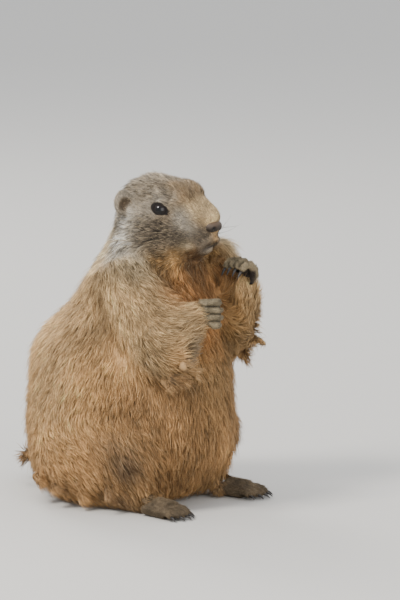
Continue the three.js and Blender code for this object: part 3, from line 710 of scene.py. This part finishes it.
markings = {
    "grizzle": [
        ((0, 30, 326), 26), ((16, 5, 314), 20), ((37, 42, 296), 9), ((26, 62, 312), 8), ((36, 40, 282), 9),
    ],
    "fawn": [((9, 76, 310), 9), ((14, 66, 317), 9)],
    "sand": [((4, 91, 303), 8), ((3, 101, 293), 7), ((14, 84, 299), 7)],
    "ash": [((42, 20, 280), 15), ((56, 26, 262), 14)],
    "frost": [
        ((22, 78, 293), 7), ((24, 76, 284), 6), ((28, 54, 307), 6), ((20, 84, 276), 6), ((6, 94, 257), 6),
    ],
    "dusk": [
        ((34, 62, 280), 9), ((41, 50, 271), 12), ((26, 74, 272), 8), ((13, 92, 271), 7),
        ((66, 122, 168), 9), ((38, 58, 262), 8),
    ],
    "umber": [
        ((8, 82, 240), 12), ((44, 72, 236), 10), ((76, 74, 230), 8), ((82, 112, 146), 9), ((10, 84, 250), 8),
    ],
    "rust": [((0, 88, 214), 24), ((50, 84, 221), 15), ((20, 92, 190), 20), ((22, 82, 230), 10)],
    "ochre": [((26, 74, 250), 8), ((40, 60, 250), 9), ((34, 100, 180), 18)],
    "cream": [((62, 50, 257), 11), ((76, 44, 249), 19), ((0, -25, 265), 34), ((20, 80, 262), 5)],
    "buff": [
        ((88, 36, 226), 24), ((95, 68, 203), 24), ((98, 90, 184), 22), ((76, 110, 192), 14),
        ((46, 104, 208), 12), ((58, 104, 186), 14),
    ],
    "pale": [((74, -25, 182), 44), ((40, -70, 190), 40), ((93, -38, 116), 30)],
    "gold": [
        ((86, 14, 160), 26), ((96, 8, 118), 26), ((0, -98, 130), 50), ((94, 110, 165), 12),
        ((0, 112, 112), 22), ((98, -30, 70), 26),
    ],
    "brown": [
        ((87, 46, 116), 20), ((74, 72, 102), 24), ((50, 96, 100), 24), ((24, 108, 82), 26),
        ((98, 20, 66), 20), ((0, -98, 50), 40), ((92, -20, 25), 30), ((0, 98, 30), 34),
        ((60, 84, 60), 24), ((90, 20, 30), 20),
    ],
    "soot": [((98, 54, 56), 11), ((99, 34, 70), 9), ((84, 30, 16), 12), ((60, 96, 124), 9)],
}
patchiness = {"seed": 4, "rounds": 22, "share": 0.09}
colouring = {
    "ground": 0.03,  # how strongly tan shows between the spots
    "armShare": 0.2,  # how strongly rust and umber show on the arms
    "tail": (0, 60),  # from brown at the first place out to dark at the second
    "lid": (1.42, 1.22),
    # The ear's hollow gets painted shade, darkened towards umber
    "cupShade": {"middle": (41, -30, 4), "reach": 6.5, "strength": 0.8},  # the ear's hollow
    "brightest": 0.9,
    "skin": 0.78,  # the skin is this much darker than its hair
}


def mixed(colours, share, hue):
    return colours + share[:, None] * (np.array(hues[hue]) - colours)


def skinColours():
    count = len(skinPoints)
    spot = np.stack([skinOut, -skinPoints[:, 1] / mm, skinPoints[:, 2] / mm], 1)
    weights = np.full(count, colouring["ground"])
    total = np.tile(np.array(hues["tan"]), (count, 1)) * colouring["ground"]
    for hue, spots in markings.items():
        for centre, reach in spots:
            weight = np.exp(-((np.linalg.norm(spot - centre, axis=1) / reach) ** 2))
            weight *= np.where(isArm, colouring["armShare"], 1) if hue in ("rust", "umber") else 1
            total += weight[:, None] * np.array(hues[hue])
            weights += weight
    colours = total / weights[:, None]
    colours[isFoot] = hues["foot"]
    colours[isPaw] = hues["paw"]
    clefts, pads = pawMasks(skinPoints)
    colours = mixed(colours, pads, "pad")
    colours[isEar] = hues["grizzle"]
    tailShare = smoothStep(skinPoints[:, 0] / mm, *colouring["tail"])[:, None]
    colours[isTail] = (np.array(hues["brown"]) * (1 - tailShare) + np.array(hues["dark"]) * tailShare)[isTail]
    noise = np.random.default_rng(patchiness["seed"]).normal(0, 1, (count, 1))
    noise = relaxed(noise, skinEdges, np.full(count, 0.7), patchiness["rounds"])
    colours = relaxed(colours, skinEdges, np.full(count, 0.6), 5)
    colours = colours * (1 + patchiness["share"] * noise / noise.std())
    # Painted shade: the clefts between the digits are darkened
    colours *= 1 - pawLook["shade"] * clefts[:, None]
    mouth, mouthFront = fromMouth(skinPoints)
    darkWidth, darkStrength = mouthLook["dark"]
    lips = np.exp(-((mouth / darkWidth) ** 2)) * smoothStep(mouthFront, *mouthLook["corner"]) * darkStrength
    colours = mixed(colours, lips, "lip")
    colours = mixed(colours, smoothStep(nearestLid(skinPoints), *colouring["lid"]), "lid")
    # Painted shade: the ear's hollow is darkened towards umber
    cupShade = colouring["cupShade"]
    hollow = np.exp(-((headDistance(skinPoints, cupShade["middle"]) / cupShade["reach"]) ** 4)) * isEar
    colours = mixed(colours, cupShade["strength"] * hollow, "umber")
    return colours * np.minimum(1, colouring["brightest"] / colours.max(axis=1))[:, None]


colours = skinColours()


# Materials
def newMaterial(name):
    material = bpy.data.materials.new(name)
    material.use_nodes = True
    return material, material.node_tree, material.node_tree.nodes["Principled BSDF"]


def addBump(tree, shader, texture, output, strength, distance):
    bump = tree.nodes.new("ShaderNodeBump")
    bump.inputs["Strength"].default_value = strength
    bump.inputs["Distance"].default_value = distance
    tree.links.new(texture.outputs[output], bump.inputs["Height"])
    tree.links.new(bump.outputs["Normal"], shader.inputs["Normal"])


def addTexture(tree, kind, scale):
    coordinates = tree.nodes.new("ShaderNodeTexCoord")
    texture = tree.nodes.new(kind)
    texture.inputs["Scale"].default_value = scale
    tree.links.new(coordinates.outputs["Object"], texture.inputs["Vector"])
    return texture


def paintedMaterial(name, roughness, specular, painted="Coat"):
    material, tree, shader = newMaterial(name)
    attribute = tree.nodes.new("ShaderNodeAttribute")
    attribute.attribute_name = painted
    tree.links.new(attribute.outputs["Color"], shader.inputs["Base Color"])
    shader.inputs["Roughness"].default_value = roughness
    shader.inputs["Specular IOR Level"].default_value = specular
    return material, tree, shader


def skinMaterial():
    material, tree, shader = paintedMaterial("skin", 0.8, 0.2)
    addBump(tree, shader, addTexture(tree, "ShaderNodeTexNoise", 900), "Fac", 0.4, 0.0006)
    return material


def noisyMaterial(name, dark, light, scale, roughness, bump):
    material, tree, shader = newMaterial(name)
    texture = addTexture(tree, "ShaderNodeTexNoise", scale)
    ramp = tree.nodes.new("ShaderNodeValToRGB")
    for element, position, colour in zip(ramp.color_ramp.elements, (0.3, 0.75), (dark, light)):
        element.position = position
        element.color = (*linear(colour), 1)
    tree.links.new(texture.outputs["Fac"], ramp.inputs["Fac"])
    tree.links.new(ramp.outputs["Color"], shader.inputs["Base Color"])
    shader.inputs["Roughness"].default_value = roughness
    addBump(tree, shader, texture, "Fac", bump, 0.0004)
    return material


def paint(mesh, colours, name="Coat"):
    attribute = mesh.color_attributes.new(name, "FLOAT_COLOR", "POINT")
    values = np.ones((len(colours), 4))
    values[:, :3] = linear(colours)
    attribute.data.foreach_set("color", values.ravel())


skin = bpy.data.objects.new("skin", skinMesh)
bpy.context.collection.objects.link(skin)
skinMesh.materials.append(skinMaterial())
skinMesh.shade_smooth()
paint(skinMesh, colours * colouring["skin"])


# The skin laid out flat, for the coat's own map
def unwrapSkin():
    bpy.ops.object.select_all(action="DESELECT")
    bpy.context.view_layer.objects.active = skin
    skin.select_set(True)
    skinMesh.uv_layers.new(name="OFBake")
    bpy.ops.object.mode_set(mode="EDIT")
    bpy.ops.mesh.select_all(action="SELECT")
    bpy.ops.uv.smart_project(angle_limit=math.radians(66), island_margin=0.002)
    bpy.ops.object.mode_set(mode="OBJECT")
    flat = np.empty(len(skinMesh.loops) * 2)
    skinMesh.uv_layers["OFBake"].data.foreach_get("uv", flat)
    return flat.reshape(-1, 2)


skinUv = unwrapSkin()
print("skin: unwrapped")

# Hairs: how many, how wide and how they stand
hairLook = {
    "seed": 11,
    "fineHairs": 74000,
    "longHairs": 104000,
    "longFrom": 5.6,
    "width": (0.26, 0.028),  # millimetres, and how much wider for each millimetre of length
    "taper": 0.55,
    "thickness": (0.5, 0.28),  # across and upright, as a share of the width
    "rise": 0.62,
    "fall": 0.40,
    "lift": 0.24,
    "rooted": 0.3,
    "floor": 0.5,
    "curl": 0.10,
    "clump": 0.34,
    "clumpMost": 0.3,
    "turn": 0.13,
    "patch": 0.003,
}
# Where no hair grows: within the lids, on the lips, on the nose's pad and under the seat
bareLook = {"lid": 1.32, "mouth": 0.9, "mouthFrom": 38, "nose": -9.5, "seat": 8}
chance = np.random.default_rng(hairLook["seed"])
corners = np.empty(len(skinMesh.loops), int)
skinMesh.loops.foreach_get("vertex_index", corners)
triangles = corners.reshape(-1, 3)


def bareness(points, normals, nodeNames):
    mouth, mouthFront = fromMouth(points)
    bare = nearestLid(points) < bareLook["lid"]
    bare |= (mouth < bareLook["mouth"]) & (mouthFront > bareLook["mouthFrom"])
    bare |= (nodeNames == "nose") & (points[:, 2] / mm - eyeSpot["up"] < bareLook["nose"])
    bare |= (normals[:, 2] < -0.5) & (points[:, 2] < bareLook["seat"] * mm)
    return bare


# Roots spread over the skin, closer where the hair is short
def scatter(count, fine):
    a, b, c = (skinPoints[triangles[:, k]] for k in range(3))
    area = np.linalg.norm(np.cross(b - a, c - a), axis=1)
    length = lengths[triangles].mean(axis=1)
    chosen = (length < hairLook["longFrom"]) == fine
    weight = area * chosen / (length * (hairLook["width"][0] + hairLook["width"][1] * length))
    face = chance.choice(len(triangles), count, p=weight / weight.sum())
    u, v = chance.random(count), chance.random(count)
    flip = u + v > 1
    u[flip], v[flip] = 1 - u[flip], 1 - v[flip]
    shares = np.stack([1 - u - v, u, v], 1)

    def at(values):
        return np.einsum("nk,nkc->nc", shares, values[triangles[face]])

    uv = np.einsum("nk,nkc->nc", shares, skinUv.reshape(-1, 3, 2)[face])
    roots = {
        "point": at(skinPoints), "normal": unit(at(skinNormals)), "lie": unit(at(skinLie)),
        "length": at(lengths[:, None])[:, 0], "colour": at(colours), "uv": uv,
        "node": skinNodes[triangles[face][:, 0]],
    }
    kept = ~bareness(roots["point"], roots["normal"], roots["node"])
    return {name: values[kept] for name, values in roots.items()}


# Hairs near each other share a direction, a length and a shade, as a tuft does
def tufted(roots, spacing):
    count = len(roots["point"])
    heads = chance.choice(count, max(count // spacing, 1), replace=False)
    tree = KDTree(len(heads))
    for n, head in enumerate(heads):
        tree.insert(roots["point"][head], n)
    tree.balance()
    return heads[np.array([tree.find(point)[1] for point in roots["point"]])]


def makeHairs(roots, steps, spacing):
    count = len(roots["point"])
    leader = tufted(roots, spacing)
    normal, lie = roots["normal"], roots["lie"]
    across = unit(np.cross(normal, lie))
    turn = (chance.normal(0, 1, count) + chance.normal(0, 1.2, count)[leader]) * hairLook["turn"]
    lie = unit(lie + across * turn[:, None])
    across = unit(np.cross(normal, lie))
    length = roots["length"] * np.clip(chance.normal(1, 0.17, count), 0.55, 1.4) * mm
    length *= np.clip(chance.normal(1, 0.1, count), 0.8, 1.25)[leader]
    rise = hairLook["rise"] * (1 + chance.normal(0, 0.22, count))
    curl = hairLook["curl"] * chance.normal(0, 1, count)
    base, growth = hairLook["width"]
    width = (base + growth * roots["length"]) * chance.uniform(0.7, 1.25, count) * mm
    tip = roots["point"] + (lie + normal * hairLook["lift"]) * length[:, None]
    pull = (tip[leader] - tip) * hairLook["clump"]
    limit = hairLook["clumpMost"] * length / np.maximum(np.linalg.norm(pull, axis=1), 1e-6)
    pull *= np.minimum(limit, 1)[:, None]
    rings = []
    for step in range(steps + 1):
        t = step / steps
        height = length * (rise * t - hairLook["fall"] * t * t) - hairLook["rooted"] * mm * (1 - t)
        centre = roots["point"] + lie * (length * t)[:, None] + normal * height[:, None]
        centre = centre + across * (length * curl * t * t)[:, None] + pull * t * t
        centre[:, 2] = np.maximum(centre[:, 2], hairLook["floor"] * mm)
        if step == steps:
            rings.append(centre[:, None])
            break
        wide, high = (width * (1 - hairLook["taper"] * t) * part for part in hairLook["thickness"])
        for angle in (90, 210, 330):
            a = math.radians(angle)
            offset = across * (math.cos(a) * wide)[:, None] + normal * (math.sin(a) * high)[:, None]
            rings.append((centre + offset)[:, None])
    return np.concatenate(rings, axis=1), leader


def hairFaces(steps):
    faces = [(0, 2, 1)]
    for step in range(steps - 1):
        for k in range(3):
            low, high = 3 * step + k, 3 * step + (k + 1) % 3
            faces += [(low, high, high + 3), (low, high + 3, low + 3)]
    last, tip = 3 * (steps - 1), 3 * steps
    return np.array(faces + [(last + k, last + (k + 1) % 3, tip) for k in range(3)])


# Each hair is darker at its root; some are dark or pale all along, most of all on the head
hairTone = {
    "grizzled": (1.15, 0.55),  # on the head, and elsewhere
    "dark": (0.18, 0.45), "pale": (0.84, 0.5),  # which hairs by their draw, and how strongly
    "along": ([0, 0.4, 0.8, 1], [0.7, 0.95, 1.06, 1.1]),
}


def hairColours(roots, leader, perHair, steps):
    count = len(leader)
    onHead = np.array([name.startswith(("head", "jaw", "ear", "neck")) for name in roots["node"]])
    grizzled = np.where(onHead, *hairTone["grizzled"])
    shade = 1 + (chance.normal(0, 0.07, count) + chance.normal(0, 0.06, count)[leader]) * (0.5 + grizzled)
    kind = chance.random(count)
    base = roots["colour"] * shade[:, None]
    darkBelow, darkShare = hairTone["dark"]
    paleAbove, paleShare = hairTone["pale"]
    base = np.where((kind < darkBelow)[:, None], base * (1 - darkShare * grizzled)[:, None], base)
    pale = base + (np.array(hues["cream"]) - base) * (paleShare * grizzled)[:, None]
    base = np.where((kind > paleAbove)[:, None], pale, base)
    along = np.minimum(np.arange(perHair) // 3, steps) / steps
    light = np.interp(along, *hairTone["along"])
    return np.clip(base[:, None, :] * light[None, :, None], 0.02, 0.95).astype(np.float32)


def coatPiece(name, hairs, colours, uv, steps, material):
    count, perHair = hairs.shape[:2]
    pattern = hairFaces(steps)
    faces = (pattern[None] + np.arange(count)[:, None, None] * perHair).reshape(-1, 3)
    mesh = bpy.data.meshes.new(name)
    mesh.vertices.add(count * perHair)
    mesh.vertices.foreach_set("co", hairs.astype(np.float32).ravel())
    mesh.loops.add(faces.size)
    mesh.loops.foreach_set("vertex_index", faces.ravel().astype(np.int32))
    mesh.polygons.add(len(faces))
    mesh.polygons.foreach_set("loop_start", np.arange(0, faces.size, 3, dtype=np.int32))
    mesh.update(calc_edges=True)
    mesh.shade_smooth()
    paint(mesh, colours.reshape(-1, 3))
    spread = np.stack([np.arange(perHair) % 3 / 3, np.minimum(np.arange(perHair) // 3, steps) / steps], 1)
    flat = uv[:, None, :] + (spread[None] - 0.5) * hairLook["patch"]
    layer = mesh.uv_layers.new(name="OFBake")
    layer.data.foreach_set("uv", flat.reshape(-1, 2)[faces.ravel()].astype(np.float32).ravel())
    mesh.materials.append(material)
    piece = bpy.data.objects.new(name, mesh)
    bpy.context.collection.objects.link(piece)
    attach(piece, "root")


coatZones = {
    "head": ("head", "jaw", "nose", "eye", "ear"),
    "neck": ("neck", "chest"),
    "arm_left": ("upper_arm_left", "forearm_left"),
    "arm_right": ("upper_arm_right", "forearm_right"),
    "paws": ("paw", "foot"),
    "haunch": ("thigh",),
    "belly": ("belly",),
    "tail": ("tail",),
}
pieceLimit = 190000  # triangles in one piece of the coat


def makeCoat():
    material = paintedMaterial("fur", 0.62, 0.28)[0]
    total = 0
    for word, fine, steps, spacing in (("fine", True, 1, 7), ("long", False, 2, 14)):
        roots = scatter(hairLook[word + "Hairs"], fine)
        hairs, leader = makeHairs(roots, steps, spacing)
        shades = hairColours(roots, leader, hairs.shape[1], steps)
        trianglesEach = len(hairFaces(steps))
        for zone, starts in coatZones.items():
            chosen = np.flatnonzero([name.startswith(starts) for name in roots["node"]])
            room = pieceLimit // trianglesEach
            for part, first in enumerate(range(0, len(chosen), room)):
                some = chosen[first:first + room]
                name = f"coat_{zone}_{word}_{part + 1}"
                coatPiece(name, hairs[some], shades[some], roots["uv"][some], steps, material)
            total += len(chosen) * trianglesEach
    print("coat: triangles", total)


makeCoat()
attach(skin, "root")
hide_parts(*[name for name in fleshNodes if name != "nose"])


# Eyes: a full ball, nearly black, with a dark brown iris under a wet surface
irisLook = {"pupil": 26, "edge": 56, "soft": (5, 8), "streaks": (17, 0.25), "colour": (0.075, 0.042, 0.028)}


def makeEye(side, material):
    eye = eyes[side]
    bpy.ops.mesh.primitive_uv_sphere_add(segments=64, ring_count=40, radius=eye["radius"])
    ball = bpy.context.object
    ball.name = "eyeball_left" if side > 0 else "eyeball_right"
    points = pointsOf(ball.data)
    angle = np.degrees(np.arccos(np.clip(unit(points) @ eye["facing"], -1, 1)))
    streakCount, streakStrength = irisLook["streaks"]
    turned = np.arctan2(points @ eye["across"], points @ eye["along"])
    streaks = 1 + streakStrength * np.sin(streakCount * turned)
    pupil, edge, (pupilSoft, edgeSoft) = irisLook["pupil"], irisLook["edge"], irisLook["soft"]
    iris = smoothStep(angle, pupil - pupilSoft, pupil + pupilSoft)
    iris *= 1 - smoothStep(angle, edge - edgeSoft, edge)
    black = np.array(hues["black"]) * 0.4
    paint(ball.data, black + (iris * streaks)[:, None] * (np.array(irisLook["colour"]) - black), "Iris")
    setPoints(ball.data, points + eye["centre"])
    ball.data.shade_smooth()
    ball.data.materials.append(material)
    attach(ball, "root")
    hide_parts("eye_left" if side > 0 else "eye_right")


def makeEyes():
    material = paintedMaterial("eye", 0.07, 0.3, "Iris")[0]
    for side in (1, -1):
        makeEye(side, material)


makeEyes()
print("eyes: done")

# Nose: a broad bare pad with two slanting nostrils and a groove down its middle
noseLook = {
    "proud": (0.8, 0.2, 0.5), "raised": 1.0,  # how much larger and higher than its node
    "underside": 2.2,  # how far its lower edge draws back
    "nostril": (6.4, 52.0, -17.0), "shape": (0.9, 1.25), "reach": 1.9, "depth": 1.6,
    "groove": 0.8, "grooveWidth": 0.7,
    # dark and light: the pad's painted shade below and painted light on top; holeShade: the nostrils' painted
    # shade
    "dark": (0.15, 0.12, 0.095), "light": (0.34, 0.27, 0.205), "holeShade": 0.85, "holeShare": 0.95,
}


def nostrilShare(points, side, reach):
    away = (points - headPlace(side, *noseLook["nostril"])) / mm
    wide, high = noseLook["shape"]
    return np.exp(-((np.hypot(away[:, 0] / wide, away[:, 2] / high) / reach) ** 4)) * (np.abs(away[:, 1]) < 8)


def makeNose():
    low, high = (np.array(corner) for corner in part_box("nose"))
    bpy.ops.mesh.primitive_ico_sphere_add(subdivisions=6, radius=1)
    nose = bpy.context.object
    nose.name = "nose_pad"
    ball = pointsOf(nose.data)
    middle = (low + high) / 2 + np.array([0, 0, noseLook["raised"]]) * mm
    points = middle + ball * ((high - low) / 2 + np.array(noseLook["proud"]) * mm)
    points[:, 1] += smoothStep(-ball[:, 2], 0.1, 1) * noseLook["underside"] * mm
    inward = -unit(ball)
    for side in (1, -1):
        hollow = nostrilShare(points, side, noseLook["reach"])
        points += inward * (hollow * noseLook["depth"] * mm)[:, None]
    groove = np.exp(-((points[:, 0] / (noseLook["grooveWidth"] * mm)) ** 2))
    groove *= points[:, 2] < middle[2] + 2 * mm
    points += inward * (groove * noseLook["groove"] * mm)[:, None]
    # Painted light and shade: the pad is lighter towards its top, darker below and darkest in the nostrils
    reach = noseLook["reach"] * noseLook["holeShare"]
    holes = np.maximum(nostrilShare(points, 1, reach), nostrilShare(points, -1, reach))
    lit = smoothStep(ball[:, 2], -0.4, 0.9)[:, None]
    leatherLightAndShade = np.array(noseLook["dark"]) * (1 - lit) + np.array(noseLook["light"]) * lit
    leatherLightAndShade *= 1 - noseLook["holeShade"] * holes[:, None]
    setPoints(nose.data, points)
    nose.data.shade_smooth()
    paint(nose.data, leatherLightAndShade, "LeatherLightAndShade")
    material, tree, shader = paintedMaterial("nose", 0.5, 0.35, "LeatherLightAndShade")
    addBump(tree, shader, addTexture(tree, "ShaderNodeTexVoronoi", 900), "Distance", 0.5, 0.0004)
    nose.data.materials.append(material)
    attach(nose, "root")
    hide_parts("nose")


makeNose()
print("nose: done")


# Claws: the frame's own, rounded
def makeClaws():
    material = noisyMaterial("claw", (0.06, 0.05, 0.042), (0.17, 0.14, 0.115), 420, 0.5, 0.3)
    for name in [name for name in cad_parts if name.startswith("claw")]:
        claw = bpy.data.objects.new(name.replace("claw", "horn"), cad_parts[name].data.copy())
        bpy.context.collection.objects.link(claw)
        bm = bmesh.new()
        bm.from_mesh(claw.data)
        bmesh.ops.remove_doubles(bm, verts=bm.verts, dist=2e-5)
        bm.to_mesh(claw.data)
        bm.free()
        rounding = claw.modifiers.new("round", "SUBSURF")
        rounding.levels = 2
        rounded = evaluatedMesh(claw)
        claw.modifiers.clear()
        claw.data = rounded
        rounded.materials.clear()
        rounded.materials.append(material)
        rounded.shade_smooth()
        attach(claw, "root")
        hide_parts(name)


makeClaws()
print("claws: done")

# Whiskers: fine bristles that arch back from the pads beside the nose, and a few over each eye
whiskerLook = {
    "seed": 5,
    "pad": {"at": (12.5, 38, -22), "heading": (0.9, 0.05, 0.1), "count": 11, "size": 1},
    "brow": {"at": (24, 6, 12), "heading": (0.5, -0.1, 0.9), "count": 3, "size": 0.6},
    "spread": (1.2, 3, 2.4),
    "length": (22, 38),
    "width": 0.32,  # of a whisker of the usual length
    "usual": 30,
    "bend": 0.32,
}


def whiskerTree(material):
    tree = bpy.data.node_groups.new("whiskers", "GeometryNodeTree")
    tree.interface.new_socket("Geometry", in_out="INPUT", socket_type="NodeSocketGeometry")
    width = tree.interface.new_socket("Width", in_out="INPUT", socket_type="NodeSocketFloat")
    bend = tree.interface.new_socket("Bend", in_out="INPUT", socket_type="NodeSocketFloat")
    tree.interface.new_socket("Geometry", in_out="OUTPUT", socket_type="NodeSocketGeometry")
    add, link = tree.nodes.new, tree.links.new
    entry, leave = add("NodeGroupInput"), add("NodeGroupOutput")
    arc = add("GeometryNodeCurveQuadraticBezier")
    arc.inputs["Resolution"].default_value = 9
    arc.inputs["Start"].default_value = (0, 0, 0)
    arc.inputs["Middle"].default_value = (0, 0, 0.55)
    tip = add("ShaderNodeCombineXYZ")
    tip.inputs["Z"].default_value = 1
    link(entry.outputs["Bend"], tip.inputs["X"])
    link(tip.outputs["Vector"], arc.inputs["End"])
    parameter, taper = add("GeometryNodeSplineParameter"), add("ShaderNodeMapRange")
    taper.inputs["To Min"].default_value = 1
    taper.inputs["To Max"].default_value = 0.15
    link(parameter.outputs["Factor"], taper.inputs["Value"])
    thin = add("GeometryNodeSetCurveRadius")
    link(arc.outputs["Curve"], thin.inputs["Curve"])
    link(taper.outputs["Result"], thin.inputs["Radius"])
    ring = add("GeometryNodeCurvePrimitiveCircle")
    ring.inputs["Resolution"].default_value = 5
    link(entry.outputs["Width"], ring.inputs["Radius"])
    tube = add("GeometryNodeCurveToMesh")
    tube.inputs["Fill Caps"].default_value = True
    link(thin.outputs["Curve"], tube.inputs["Curve"])
    link(ring.outputs["Curve"], tube.inputs["Profile Curve"])
    if "Scale" in tube.inputs:
        link(taper.outputs["Result"], tube.inputs["Scale"])
    placed = add("GeometryNodeInstanceOnPoints")
    turn, size = add("GeometryNodeInputNamedAttribute"), add("GeometryNodeInputNamedAttribute")
    turn.data_type = "FLOAT_VECTOR"
    turn.inputs["Name"].default_value = "turn"
    size.inputs["Name"].default_value = "size"
    link(entry.outputs["Geometry"], placed.inputs["Points"])
    link(tube.outputs["Mesh"], placed.inputs["Instance"])
    link(turn.outputs["Attribute"], placed.inputs["Rotation"])
    link(size.outputs["Attribute"], placed.inputs["Scale"])
    real, finish = add("GeometryNodeRealizeInstances"), add("GeometryNodeSetMaterial")
    finish.inputs["Material"].default_value = material
    link(placed.outputs["Instances"], real.inputs["Geometry"])
    link(real.outputs["Geometry"], finish.inputs["Geometry"])
    link(finish.outputs["Geometry"], leave.inputs["Geometry"])
    return tree, width.identifier, bend.identifier


def makeWhiskers():
    material = noisyMaterial("whisker", (0.12, 0.10, 0.08), (0.34, 0.29, 0.23), 60, 0.4, 0.1)
    rng = np.random.default_rng(whiskerLook["seed"])
    roots, turns, sizes = [], [], []
    for side in (1, -1):
        for group in (whiskerLook["pad"], whiskerLook["brow"]):
            for _ in range(group["count"]):
                strayed = [at + rng.normal(0, stray) for at, stray in zip(group["at"], whiskerLook["spread"])]
                wanted = headPlace(side, *strayed)
                root = skinPoints[np.argmin(np.linalg.norm(skinPoints - wanted, axis=1))]
                toward = unit(place(side, *group["heading"]) + rng.normal(0, 0.24, 3) * mm)
                sideways = unit(np.cross(toward, np.cross(place(side, 0, -1, 0.3), toward)))
                axes = Matrix(np.stack([sideways, np.cross(toward, sideways), toward], 1).tolist())
                roots.append(root)
                turns.append(list(axes.to_euler()))
                sizes.append(rng.uniform(*whiskerLook["length"]) * group["size"] * mm)
    mesh = bpy.data.meshes.new("whiskers")
    mesh.from_pydata(np.array(roots).tolist(), [], [])
    mesh.attributes.new("turn", "FLOAT_VECTOR", "POINT").data.foreach_set("vector", np.array(turns).ravel())
    mesh.attributes.new("size", "FLOAT", "POINT").data.foreach_set("value", np.array(sizes))
    whiskers = bpy.data.objects.new("whiskers", mesh)
    bpy.context.collection.objects.link(whiskers)
    tree, width, bend = whiskerTree(material)
    modifier = whiskers.modifiers.new("whiskers", "NODES")
    modifier.node_group = tree
    modifier[width] = whiskerLook["width"] / 2 / whiskerLook["usual"]
    modifier[bend] = whiskerLook["bend"]
    made = evaluatedMesh(whiskers)
    whiskers.modifiers.clear()
    whiskers.data = made
    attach(whiskers, "root")
    print("whiskers:", len(roots))


makeWhiskers()
makeCamera()
makeStudio()
